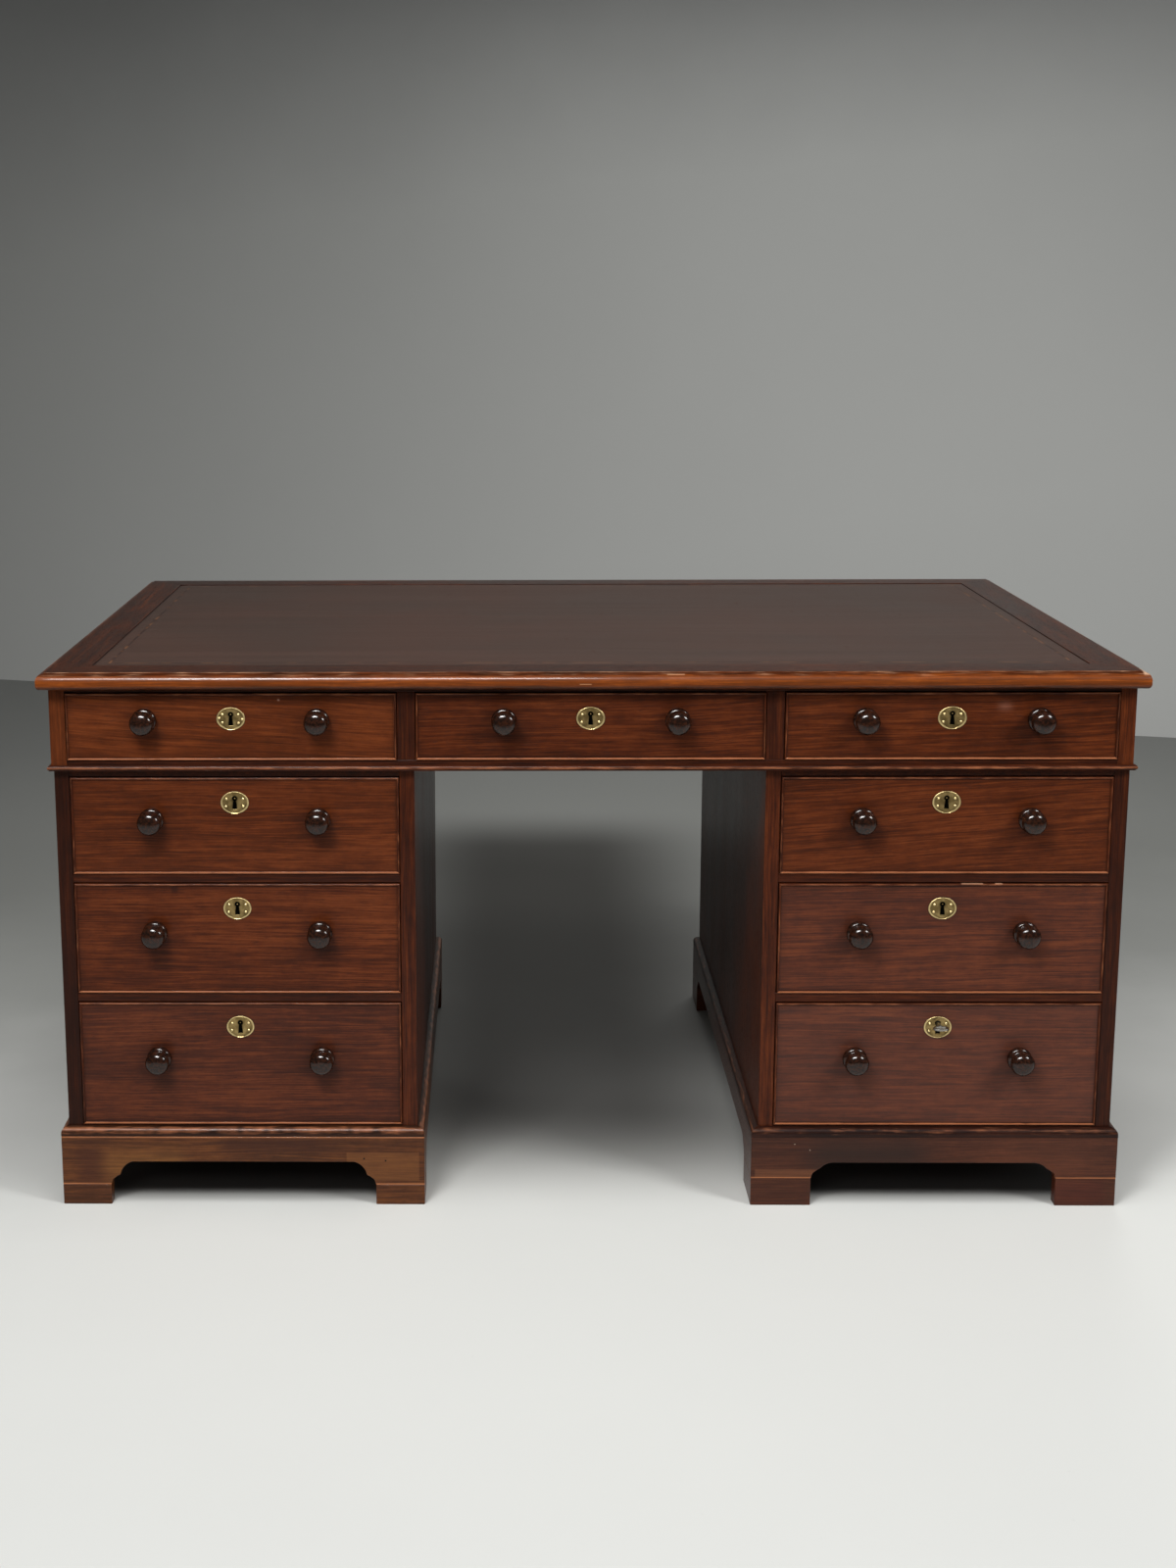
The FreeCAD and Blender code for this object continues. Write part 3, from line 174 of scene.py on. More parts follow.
def mahogany(name, dark, mid, light, rubbed, gloss=0.3, coat=0.08, patches=()):
    """Each pattern is noise on (along, across, through), stretched by waves per metre, and the figure
    is the weighted mean of five of them. patches are repairs and stains on the front: (x, z, half
    width, half height, edge, colour, amount), where edge is how softly one ends, all in metres."""
    wood = Finish(name)
    grain = wood.attribute("grain")
    lightness, warmth, wear = wood.parts(wood.attribute("tone"))
    along, across, through = wood.parts(grain)
    wander = wood.noise(wood.stretch(grain, (2.2, 10.0, 10.0)), detail=3.0) - 0.5
    flow = wood.vector(along, across + wander * 0.022, through + wander * 0.012)
    clouds = wood.noise(wood.stretch(grain, (3.0, 9.0, 9.0), (3.0, 1.0, 2.0)), detail=3.0)
    mottle = wood.noise(wood.stretch(grain, (46.0, 90.0, 90.0)), detail=3.0, rough=0.65)
    bands = wood.noise(wood.stretch(flow, (1.4, 52.0, 34.0)), detail=2.0)
    lines = wood.noise(wood.stretch(flow, (6.5, 230.0, 140.0)), detail=3.0, rough=0.7)
    hairs = wood.noise(wood.stretch(flow, (16.0, 560.0, 400.0)), detail=2.0)
    pores = wood.noise(wood.stretch(flow, (85.0, 1500.0, 1200.0)), detail=1.0).over(0.6, 0.72)
    # the five weights add up to 1.78
    figure = (bands * 0.12 + lines * 0.56 + hairs * 0.5 + clouds * 0.34 + mottle * 0.26) / 1.78
    body = figure + lightness * 0.12
    colour = wood.tint(body.over(0.36, 0.53), dark, mid)
    colour = wood.tint(body.over(0.47, 0.64), colour, light)
    colour = wood.tint(pores * 0.5, colour, OPEN_PORE)
    # warmth above zero leads to amber and below zero to a cool bloom; lightness below zero darkens, for
    # darker boards and for painted shade
    colour = wood.tint((warmth * 0.8).most(0.0), colour, wood.tint(0.5, light, OLD_AMBER))
    colour = wood.tint((warmth * -1.0).most(0.0), colour, COOL_BLOOM)
    colour = wood.tint((lightness * -0.9).most(0.0).least(0.85), colour, DARK_BOARD_AND_SHADE)
    if patches:
        x, y, z = wood.parts(wood.node("TexCoord", out=3))
        front = 1.0 - y.over(ON_FRONT, BEHIND_FRONT)
        for patch_x, patch_z, wide, high, edge, shade, amount in patches:
            inside = ((1.0 - abs(x - patch_x).over(wide - edge, wide + edge))
                      * (1.0 - abs(z - patch_z).over(high - edge, high + edge)))
            uneven = (figure - 0.5) * 2.4 + 1.0
            colour = wood.tint(inside * front * uneven * amount, colour, shade)
    # worn edges rub pale; where wear is raised on arrises, beads and crests it also paints their highlight
    rub = wood.noise(wood.stretch(grain, (30.0, 240.0, 240.0)), detail=4.0, rough=0.65)
    worn = (wear + rub * 0.9 - 0.45).over(0.25, 0.8)
    colour = wood.tint(worn * 0.8, colour, rubbed)
    polish = coat * (1.0 - worn * 0.4) * (lightness * 1.25 + 1.0).most(0.1)
    relief = lines * 0.4 + hairs * 0.3 - pores * 0.8
    return wood.surface(
        Base_Color=colour, Roughness=clouds * 0.16 + gloss + pores * 0.2 - worn * 0.06,
        Coat_Weight=polish, Coat_Roughness=0.1, IOR=1.45, Specular_IOR_Level=0.14,
        Normal=wood.bump(relief, 0.2, 0.0004))


def turned_mahogany():
    """Knobs are almost black, and years of hands keep them smoother than any flat."""
    wood = Finish("turned_dark_mahogany")
    grain, wear = wood.attribute("grain"), wood.parts(wood.attribute("tone"))[2]
    lines = wood.noise(wood.stretch(grain, (9.0, 260.0, 260.0)), detail=3.0)
    colour = wood.tint(lines.over(0.35, 0.7), srgb(24, 12, 7), srgb(50, 25, 14))
    rub = wood.noise(grain, 210.0, 4.0, 0.65)
    worn = (wear + rub * 0.9 - 0.45).over(0.3, 0.9)
    colour = wood.tint(worn * 0.6, colour, srgb(104, 66, 44))
    return wood.surface(Base_Color=colour, Roughness=rub * 0.1 + 0.1, IOR=1.5, Specular_IOR_Level=0.36)


TURNED = turned_mahogany()
print("turned finish:", TURNED.name)

# %% Fronts and border, with their old marks
RUBBED, BEAD_CHIP = srgb(172, 106, 70), srgb(190, 142, 112)
POLISHED = mahogany(
    "polished_mahogany", srgb(44, 16, 5), srgb(78, 32, 10), srgb(108, 52, 21), RUBBED, patches=[
        # a scuff beside a knob of the right frieze drawer
        (0.568, 0.731, 0.008, 0.004, 0.008, srgb(150, 108, 92), 0.3),
        # two chips on the upper bead of the middle right drawer
        (0.535, 0.4768, 0.015, 0.0008, 0.0008, BEAD_CHIP, 0.6),
        (0.572, 0.4768, 0.005, 0.0008, 0.0008, BEAD_CHIP, 0.6),
        # a bruise on the middle left drawer and a nick on the left frieze drawer
        (-0.583, 0.468, 0.0045, 0.005, 0.003, srgb(18, 9, 7), 0.6),
        (-0.43, 0.741, 0.0013, 0.0013, 0.001, srgb(176, 140, 120), 0.6)])
BORDER = mahogany(
    "top_border_mahogany", srgb(46, 19, 6), srgb(100, 44, 10), srgb(154, 78, 22), srgb(206, 156, 120),
    gloss=0.28, coat=0.34, patches=[
        # bare wood at the right corner, then two chips along the nose
        (0.757, 0.7797, 0.007, 0.0016, 0.0018, srgb(226, 188, 156), 0.6),
        (-0.008, 0.7665, 0.008, 0.0005, 0.0007, srgb(214, 160, 116), 0.55),
        (0.115, 0.7790, 0.012, 0.0005, 0.0007, srgb(214, 166, 126), 0.4)])
print("board finishes:", POLISHED.name, BORDER.name)

# %% [markdown]
# ## Plain timber, leather, brass and steel
# Drawer boxes and runners are bare pine, greyed by age. The writing leather is dark, slightly
# creased hide with a tooled line. Lock plates are unpolished brass with painted highlights on rims
# and pins and painted shade in the keyhole and hollows, and the key is iron-grey steel. All four
# are built from noise on the object's own coordinates.

# %% Finishes for the other pieces
LEATHER_HALF_X, LEATHER_HALF_Y = 693.7, 415.7  # mm, up to the border's inner edge
TOOLED_LINE = 0.020  # metres from the leather's edge


def bare_pine():
    pine = Finish("bare_pine")
    grain, lightness = pine.attribute("grain"), pine.parts(pine.attribute("tone"))[0]
    rings = pine.noise(pine.stretch(grain, (1.1, 60.0, 40.0)), detail=3.0)
    fibres = pine.noise(pine.stretch(grain, (14.0, 700.0, 500.0)), detail=2.0)
    stain = pine.noise(pine.stretch(grain, (5.0, 5.0, 5.0)), detail=4.0)
    colour = pine.tint(rings.over(0.35, 0.7), srgb(150, 112, 72), srgb(176, 138, 92))
    colour = pine.tint(fibres.over(0.5, 0.75) * 0.4, colour, srgb(112, 80, 50))
    dirt = stain.over(0.5, 0.8) * 0.5 + (lightness * -1.0).most(0.0)
    colour = pine.tint(dirt, colour, srgb(96, 70, 48))
    return pine.surface(Base_Color=colour, Roughness=stain * 0.15 + 0.62,
                        Normal=pine.bump(rings + fibres, 0.25, 0.0004))


def writing_hide():
    hide = Finish("writing_leather")
    place = hide.node("TexCoord", out=3)
    x, y, _ = hide.parts(place)
    edge = (LEATHER_HALF_X * MM - abs(x)).least(LEATHER_HALF_Y * MM - abs(y))
    pebble = hide.node("TexVoronoi", {"feature": "DISTANCE_TO_EDGE"},
                       {"Vector": place, "Scale": 620.0})
    ripple = hide.noise(hide.stretch(place, (2.6, 34.0, 1.0)), detail=3.0)
    wash = hide.noise(place, 2.6, 4.0, 0.6)
    scuff = hide.noise(hide.stretch(place, (60.0, 9.0, 1.0)), detail=3.0, rough=0.7).over(0.64, 0.8)
    tooled = 1.0 - abs(edge - TOOLED_LINE).over(0.0009, 0.0024)
    gilt = tooled * hide.noise(place, 38.0, 3.0).over(0.46, 0.6)
    streaks = hide.noise(hide.stretch(place, (1.5, 44.0, 1.0)), detail=4.0, rough=0.6).over(0.42, 0.66)
    colour = hide.tint(wash.over(0.2, 0.8), srgb(55, 41, 34), srgb(67, 46, 38))
    colour = hide.tint(streaks * 0.17, colour, srgb(90, 64, 54))
    colour = hide.tint(scuff * 0.3, colour, srgb(104, 76, 62))
    colour = hide.tint(tooled * 0.7, colour, srgb(34, 19, 17))
    colour = hide.tint(gilt * 0.55, colour, srgb(132, 88, 56))
    # painted shade where the leather dips to meet the border
    colour = hide.tint((1.0 - edge.over(0.0, 0.004)) * 0.8, colour, srgb(22, 12, 10))
    height = pebble.over(0.0, 0.4) * 0.25 + ripple * 1.8 + streaks * 0.3 - tooled * 1.2
    return hide.surface(Base_Color=colour, Roughness=wash * 0.16 + 0.36 + scuff * 0.1,
                        Specular_IOR_Level=0.32, Normal=hide.bump(height, 0.3, 0.0006))


def old_brass():
    """Its height is the lightness of tone: above zero it is a painted highlight on rims and pins, below
    zero painted shade.
    """
    brass = Finish("old_brass")
    place = brass.node("TexCoord", out=3)
    tarnish = brass.noise(place, 110.0, 3.0, 0.55)
    fleck = brass.noise(place, 900.0, 2.0)
    height = brass.parts(brass.attribute("tone"))[0]
    colour = brass.tint(tarnish.over(0.34, 0.68), srgb(128, 107, 67), srgb(168, 144, 96))
    # painted highlight where the lightness is above zero, then painted shade where it is below
    colour = brass.tint(height.most(0.0), colour, srgb(238, 214, 156))
    colour = brass.tint((height * -1.0).most(0.0), colour, srgb(8, 7, 4))
    return brass.surface(Base_Color=colour, Metallic=1.0, Roughness=tarnish * 0.2 + fleck * 0.08 + 0.26,
                         Normal=brass.bump(tarnish + fleck * 0.3, 0.12, 0.0003))


def grey_steel():
    steel = Finish("grey_steel")
    place = steel.node("TexCoord", out=3)
    brushed = steel.noise(steel.stretch(place, (900.0, 90.0, 900.0)), detail=2.0)
    rust = steel.noise(place, 300.0, 4.0, 0.7).over(0.56, 0.74)
    colour = steel.tint(brushed, srgb(118, 114, 108), srgb(176, 172, 166))
    colour = steel.tint(rust * 0.6, colour, srgb(72, 52, 40))
    return steel.surface(Base_Color=colour, Metallic=1.0, Roughness=brushed * 0.2 + 0.2 + rust * 0.3,
                         Normal=steel.bump(brushed, 0.15, 0.0002))


PINE, HIDE, BRASS, STEEL = bare_pine(), writing_hide(), old_brass(), grey_steel()
print("other finishes:", PINE.name, HIDE.name, BRASS.name, STEEL.name)

# %% [markdown]
# ## Sheets of points
# Most pieces below are a grid of points: one direction goes round a profile, the other along a path.
# The faces of such a grid are the same sum for every piece, so they are worked out once, as whole
# arrays. A shape is a dictionary of points, faces, grain and tone, and several shapes can be joined
# into one Blender object.

# %% Grids and shapes
def grid_faces(rows, columns, round_rows=False, round_columns=False):
    """Four-sided faces between neighbouring points of a grid; a round direction joins its ends."""
    row = np.arange(rows if round_rows else rows - 1)[:, None]
    column = np.arange(columns if round_columns else columns - 1)[None, :]
    below, right = (row + 1) % rows, (column + 1) % columns
    corners = [row * columns + column, row * columns + right,
               below * columns + right, below * columns + column]
    return np.stack(np.broadcast_arrays(*corners), -1).reshape(-1, 4)


def shape(points, faces, grain=None, tone=(0.0, 0.0, 0.0)):
    """Points in millimetres become metres; grain and tone are spread over all the points."""
    points = np.asarray(points, float).reshape(-1, 3) * MM
    faces = [face.tolist() for face in faces]
    grain = points if grain is None else np.asarray(grain, float).reshape(-1, 3)
    tone = np.broadcast_to(np.asarray(tone, float).reshape(-1, 3), points.shape).copy()
    return {"points": points, "faces": faces, "grain": grain, "tone": tone}


def along_grain(points, axis, chance, slope=0.0):
    """Board coordinates: the axis that the grain runs along first, then the other two, moved by a
    seeded step so that no two boards show the same figure. The streaks rise by slope along the board."""
    order = [axis] + [other for other in (2, 0, 1) if other != axis]
    step = np.random.default_rng(chance).uniform(-9, 9, 3)
    turned = np.asarray(points, float).reshape(-1, 3)[:, order] * MM
    return turned + step - turned[:, :1] * [0, slope, 0]


print("a grid of 3 rows and 4 columns has", len(grid_faces(3, 4)), "faces")

# %% From shapes to one Blender object
HARD_EDGE = 52.0  # degrees between two faces


def piece(name, shapes, finish, body, slot, *nodes):
    """Joins shapes into one mesh object, hangs it on its body and hides the CAD nodes it stands for.
    Edges sharper than HARD_EDGE stay hard, and large flat faces lead the shading of the round edges
    beside them."""
    starts = np.cumsum([0] + [len(one["points"]) for one in shapes])
    mesh = bpy.data.meshes.new(name)
    faces = [[start + corner for corner in face]
             for one, start in zip(shapes, starts) for face in one["faces"]]
    mesh.from_pydata(np.concatenate([one["points"] for one in shapes]).tolist(), [], faces)
    for key in ("grain", "tone"):
        layer = mesh.attributes.new(key, "FLOAT_VECTOR", "POINT")
        values = np.concatenate([one[key] for one in shapes]).astype(np.float32)
        layer.data.foreach_set("vector", values.ravel())
    mesh.polygons.foreach_set("use_smooth", np.ones(len(mesh.polygons), bool))
    mesh.set_sharp_from_angle(angle=np.radians(HARD_EDGE))
    mesh.materials.append(finish)
    made = bpy.data.objects.new(name, mesh)
    bpy.context.scene.collection.objects.link(made)
    made.modifiers.new("Even shading", "WEIGHTED_NORMAL").keep_sharp = True
    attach(made, body)
    if nodes:
        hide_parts(*nodes)
    return made


print("edges of more than", HARD_EDGE, "degrees stay hard")

# %% [markdown]
# ## Solids of the frame, with softened arrises
# A board in the packed frame has edges as sharp as its drawing. A hand plane and two centuries of
# dusting leave each arris slightly round, and that round edge is what catches the light. A Bevel
# modifier on the node would work on one solid, but a node holds several that touch. So each solid is
# copied out, its flat faces are joined again, and its sharp edges are cut to a small round.

# %% Split a node into its solids
def node_solids(node):
    """The closed solids of a node, as (points in mm, triangles). Each edge of a closed solid is used
    twice, so numbers given to the edges cancel by exclusive-or exactly where a solid is complete."""
    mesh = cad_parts[node].data
    mesh.calc_loop_triangles()
    place = np.empty(len(mesh.vertices) * 3)
    mesh.vertices.foreach_get("co", place)
    corner = np.empty(len(mesh.loop_triangles) * 3, int)
    mesh.loop_triangles.foreach_get("vertices", corner)
    place = place.reshape(-1, 3)
    # points are the same where they agree to a thousandth of a millimetre
    welded, same = np.unique(np.round(place * 1e6).astype(np.int64), axis=0, return_inverse=True)
    triangles = same.ravel()[corner].reshape(-1, 3)
    edges = np.sort(np.stack([triangles, np.roll(triangles, -1, 1)], -1), -1)
    kinds, which = np.unique(edges.reshape(-1, 2), axis=0, return_inverse=True)
    marks = np.random.default_rng(7).integers(1, 2 ** 60, len(kinds))[which.ravel()].reshape(-1, 3)
    running = np.bitwise_xor.accumulate(np.bitwise_xor.reduce(marks, axis=1))
    stops = np.flatnonzero(running == 0) + 1
    return [(welded * 1e-3, triangles[start:stop]) for start, stop in zip([0, *stops[:-1]], stops)]


def solid_box(points, triangles):
    """The lowest and the highest corner of the box round one solid, in millimetres."""
    used = points[np.unique(triangles)]
    return used.min(0), used.max(0)


print("solids in the left carcase:", len(node_solids("left_carcase")))

# %% Soften the solids
PLAIN = (0.0, 0.0, 0.0)  # the tone of a piece with nothing special


def softened(points, triangles, soft, axis=None, chance=0, tone=PLAIN, sharp=35.0, rub=0.0):
    """A copy of one solid with its flat faces joined and its arrises rounded by soft millimetres, or
    by a fifth of a thin board. An arris is an edge of more than sharp degrees. The crest of a round
    is the row of points that lie on new faces only, and rub is its extra wear, which also paints the
    highlight that the edge catches."""
    used, corner = np.unique(triangles, return_inverse=True)
    place = points[used]
    size = np.ptp(place, axis=0)
    work = bmesh.new()
    verts = [work.verts.new(point) for point in place.tolist()]
    for face in corner.reshape(-1, 3).tolist():
        work.faces.new([verts[index] for index in face])
    bmesh.ops.dissolve_limit(work, angle_limit=np.radians(1.0), verts=work.verts, edges=work.edges)
    edges = [edge for edge in work.edges
             if edge.is_manifold and edge.calc_face_angle(0.0) > np.radians(sharp)]
    soft = min(soft, float(size.min()) / 5)
    cut = bmesh.ops.bevel(work, geom=edges, offset=soft, segments=2, profile=0.5, affect="EDGES",
                          clamp_overlap=True)
    fresh = set(cut["faces"])
    work.verts.index_update()
    made = np.array([vert.co[:] for vert in work.verts])
    crest = np.array([all(face in fresh for face in vert.link_faces) for vert in work.verts], float)
    faces = [np.array([vert.index for vert in face.verts]) for face in work.faces]
    work.free()
    axis = int(size.argmax()) if axis is None else axis
    tones = np.array(tone) + crest[:, None] * [0, 0, rub]
    return shape(made, faces, along_grain(made, axis, chance), tones)


def dressed(node, finish, body, slot, soft=0.7, axes=None, tones=None, sharp=35.0, rub=0.0, edges=None):
    """The node's solids, softened, as one piece that stands for the node. axes, tones and edges are
    given by the number of the solid. edges gives the points on a board's front face a lightness of
    its own."""
    axes, tones, seed = axes or {}, tones or {}, sum(map(ord, node))
    shapes = [softened(points, triangles, soft, axes.get(index), seed + index,
                       tones.get(index, PLAIN), sharp, rub)
              for index, (points, triangles) in enumerate(node_solids(node))]
    for index, lightness in (edges or {}).items():
        depth = shapes[index]["points"][:, 1]
        shapes[index]["tone"][depth < depth.min() + 0.4 * MM, 0] = lightness
    return piece(node + "_soft", shapes, finish, body, slot, node)


print("first board of the left carcase:", *solid_box(*node_solids("left_carcase")[0]))

# %% [markdown]
# ## Carcases, frieze and inner framing
# The pedestal sides are upright boards, so their grain runs up and down; rails run across. Showing
# faces are mahogany, hidden runners and bulkheads are pine.

# %% Dress the standing boards
UPRIGHT_WIDTH = 22.0  # mm; what is narrower than this across the desk is an upright board
UP = 2                # the axis of an upright board's grain
STILE_EDGES = {"left": (-0.66, -0.2), "right": (-0.2, -0.5)}  # lightness of the two front edges
for side in ("left", "right"):
    boxes = [solid_box(*solid) for solid in node_solids(side + "_carcase")]
    upright = {index: UP for index, (low, high) in enumerate(boxes) if (high - low)[0] < UPRIGHT_WIDTH}
    dressed(side + "_carcase", POLISHED, "desk", "mahogany", 0.9, upright,
            {index: (-0.3 if index < 2 else -0.4, 0.0, 0.0) for index in range(6)}, rub=0.3,
            edges=dict(enumerate(STILE_EDGES[side])))
    dressed(side + "_inner", PINE, "desk", "lining", 0.4)
    dressed(side + "_hinges", BRASS, "desk", "brass", 0.15, sharp=60.0)
frieze_tones = {index: (-0.42, 0.0, 0.0) for index in range(2, 10)}
frieze_tones.update({0: (-0.13, 0.2, 0.1), 1: (-0.1, 0.05, 0.05)})
dressed("frieze_frame", POLISHED, "desk", "mahogany", 0.8, {0: UP, 1: UP}, frieze_tones, rub=0.3)
dressed("frieze_runners", PINE, "desk", "lining", 0.4)
dressed("top_ground", PINE, "desk", "lining", 0.6)
print("standing boards dressed, with", len(upright), "uprights in each pedestal")

# %% [markdown]
# ## Mouldings that go round a rectangle
# The top's edge, the bead under the frieze, the plinth mouldings and the cock beads are all one idea:
# a profile that keeps its distance from a rectangle and meets itself in mitres. A sweep along a curve
# would need corner fixes, so the points are written down directly: each profile point has a distance
# inside the rectangle, and the rectangle shrinks by that distance for its row of points.

# %% A mitred length of moulding
def wavering(place, seed, waves=5, slow=3.0, quick=40.0):
    """A smooth uneven line between -1 and 1: a sum of sines with seeded speeds and starts."""
    chance = np.random.default_rng(seed)
    speed, start = chance.uniform(slow, quick, waves), chance.uniform(0, 2 * np.pi, waves)
    return np.sin(np.asarray(place)[..., None] * speed + start).sum(-1) / waves


def mitred_side(profile, half_long, half_wide, steps, seed, crest, wear, tone, uneven=0.05):
    """One side of a moulding in its own frame: x along it, y outwards, z up, in millimetres.
    A profile point (inset, height) lies half_wide - inset out, and runs to half_long - inset each
    way, so both ends are mitres. crest is how far each profile point stands proud, for the wear."""
    inset, height = np.asarray(profile, float).T
    along = np.linspace(-1, 1, steps)
    x = along[None, :] * (half_long - inset)[:, None]
    shake = uneven * wavering(x / 1000 * 6, seed) * np.asarray(crest)[:, None]
    y = (half_wide - inset)[:, None] + 0 * x - np.abs(shake)
    z = height[:, None] + 0 * x
    rows = len(profile)
    faces = list(grid_faces(rows, steps, round_rows=True))
    faces += [np.arange(rows) * steps, (np.arange(rows) * steps + steps - 1)[::-1]]
    points = np.stack([x, y, z], -1)
    rub = np.asarray(crest)[:, None] * (0.85 + 0.25 * wavering(x / 1000 * 9, seed + 1)) * wear
    light, warm = (np.broadcast_to(np.reshape(part, (-1, 1)), rub.shape) for part in tone)
    return points.reshape(-1, 3), faces, np.stack([light, warm, rub], -1).reshape(-1, 3)


def turned_over(faces):
    return [face[::-1] for face in faces]


def moulding(profile, half_x, half_y, centre_x, seed, crest, wear, tone, steps, soft=0.0):
    """Four mitred sides round a rectangle seen from above, each with its grain along it. The sign of
    the profile's area tells which way its outside was drawn, and so which way the faces turn. With
    soft, what lies in the last soft millimetres of both directions is drawn back onto an arc."""
    shapes = []
    inset, height = np.asarray(profile, float).T
    drawn_down = (inset * np.roll(height, -1) - height * np.roll(inset, -1)).sum() > 0
    for turn in range(4):
        long, wide = (half_x, half_y) if turn % 2 == 0 else (half_y, half_x)
        points, faces, tones = mitred_side(profile, long, wide, steps, seed + turn, crest, wear, tone)
        grain = along_grain(points, 0, seed + turn)
        x, y, z = points.T
        # turn 0 faces the front (-y), 1 the right (+x), 2 the back, 3 the left
        spun = [(x, -y), (y, x), (-x, y), (-y, -x)][turn]
        if soft:
            over = [np.maximum(np.abs(part) - (half - soft), 0)
                    for part, half in zip(spun, (half_x, half_y))]
            square, reach = np.maximum(*over), np.hypot(*over)
            pull = np.where(reach > 0, square / np.maximum(reach, 1e-9), 1.0)
            spun = [np.sign(part) * (np.minimum(np.abs(part), half - soft) + extra * pull)
                    for part, half, extra in zip(spun, (half_x, half_y), over)]
        placed = np.stack([spun[0] + centre_x, spun[1], z], -1)
        shapes.append(shape(placed, turned_over(faces) if drawn_down else faces, grain, tones))
    return shapes


def arc(centre, radius, start, stop, steps):
    """Points of a circle's arc, angles in degrees, as (inset, height) pairs."""
    angle = np.radians(np.linspace(start, stop, steps))
    return np.stack([centre[0] - radius * np.cos(angle), centre[1] + radius * np.sin(angle)], -1)


print("an arc from", *arc((0, 0), 1, 0, 90, 9)[0].round(3), "to", *arc((0, 0), 1, 0, 90, 9)[-1].round(3))

# %% [markdown]
# ## The top
# The writing surface is framed by cross-mitred boards whose outer edge is a thumb moulding: a small
# sunk quirk, a round nose and a tighter round below. The nose is the most handled place of a desk,
# so its crest is rubbed pale. The profile is drawn once, from the leather out over the nose.

# %% Border boards with a thumb moulding
TOP_HALF_X, TOP_HALF_Y = 762, 484  # mm
nose = np.concatenate([
    [[68.0, 759.0], [68.0, 781.5], [67.6, 782.0], [12.6, 782.0], [12.0, 781.6], [11.8, 780.9]],
    arc((11.0, 769.4), 11.0, 88, 4, 12),
    arc((7.0, 765.4), 7.0, -4, -88, 9),
    [[8.5, 758.0], [67.5, 758.0]]])
nose[:, 1] = np.clip(nose[:, 1], 758.0, 782.0)
nose_crest = np.concatenate([
    [0, 0, 0.1, 0.3, 1.0, 0.5],
    np.interp(np.linspace(0, 1, 12), [0, 0.3, 0.6, 1], [0.45, 0.6, 0.35, 0.2]),
    np.linspace(0.2, 0.0, 9),
    [0, 0]])
flat, level = nose[:, 0] > 12.1, nose[:, 1]
# painted shading: the flat of the border is darkened, and the nose is lighter and warmer on its face and
# darker and less warm towards its underside and its top, as light falls on it
nose_painted_shading = np.where(flat, -0.62, np.interp(level, [760, 768, 776, 780], [-0.5, -0.05, -0.1, -0.4]))
nose_painted_warmth = np.where(flat, 0.0, np.interp(level, [762, 767, 776, 779.5], [0.1, 0.34, 0.26, 0.0]))
border = piece(
    "top_border_boards",
    moulding(nose, TOP_HALF_X, TOP_HALF_Y, 0, 11, nose_crest, 0.6, (nose_painted_shading, nose_painted_warmth), 120, 5.0),
    BORDER, "desk", "mahogany", "top_border")
print("border:", len(border.data.polygons), "faces")

# %% [markdown]
# ## The writing leather
# A skin of hide is glued into the frame of the border. A flat plate would look like card, so the
# sheet is a grid whose height wavers by a tenth of a millimetre and turns down at its edge, and the
# bump of its finish adds the pebble of the hide and the tooled line.

# %% The leather
def hide_sheet(half_x, half_y, low, high, columns=150, rows=90):
    """A closed sheet: a grid of heights that ripple slightly and turn down at the edge, over a flat
    underside. The last ring of the grid drops to the underside, which closes the sheet."""
    u, v = np.meshgrid(np.linspace(-1, 1, columns), np.linspace(-1, 1, rows))
    near = np.minimum((1 - np.abs(u)) * half_x, (1 - np.abs(v)) * half_y)
    ripple = 0.12 * wavering(v * 3.1 + 0.3 * np.sin(u * 3), 5) + 0.06 * wavering(u * 2.3, 6)
    height = high - 0.2 + ripple * np.clip(near / 30, 0, 1) - 0.5 * np.exp(-near / 1.2)
    top = np.stack([u * half_x, v * half_y, height], -1).reshape(-1, 3)
    ring = np.concatenate([np.arange(columns), (np.arange(1, rows) * columns) + columns - 1,
                           (rows - 1) * columns + np.arange(columns - 2, -1, -1),
                           np.arange(rows - 2, 0, -1) * columns])
    under = top[ring] * [1, 1, 0] + [0, 0, low]
    count = len(ring)
    after = (np.arange(count) + 1) % count
    walls = np.stack([ring[after], ring, columns * rows + np.arange(count), columns * rows + after], -1)
    floor = columns * rows + np.arange(count)[::-1]
    return shape(np.concatenate([top, under]), [*grid_faces(rows, columns), *walls, floor])


leather = hide_sheet(LEATHER_HALF_X, LEATHER_HALF_Y, low=780.1, high=781.6)
piece("leather_sheet", [leather], HIDE, "desk", "leather", "writing_leather")
print("leather:", len(leather["points"]), "points")

# %% [markdown]
# ## Beads and plinths
# A small half-round bead covers the joint between frieze and pedestals. Each pedestal stands in a
# plinth: an ovolo moulding on bracket boards with a shaped arch, on feet that were tipped with new
# wood at some time. The arches stay as softened copies, the mouldings are swept.

# %% Frieze bead
FRIEZE_HALF_X, FRIEZE_HALF_Y = 753, 465  # mm
bead = np.concatenate([
    [[5.0, 641.1], [2.0, 641.1]], arc((3.4, 645.2), 3.4, -78, 78, 9), [[3.6, 649.0], [5.0, 649.0]]])
bead[:, 1] = np.clip(bead[:, 1], 641.0, 649.0)
bead_crest = np.concatenate([[0, 0], np.sin(np.linspace(0, np.pi, 9)) ** 2, [0, 0]])
piece("frieze_bead_run",
      moulding(bead, FRIEZE_HALF_X, FRIEZE_HALF_Y, 0, 31, bead_crest, 0.62, (-0.35, 0.0), 110),
      POLISHED, "desk", "mahogany", "frieze_bead")
print("frieze bead:", len(bead), "points in its profile")

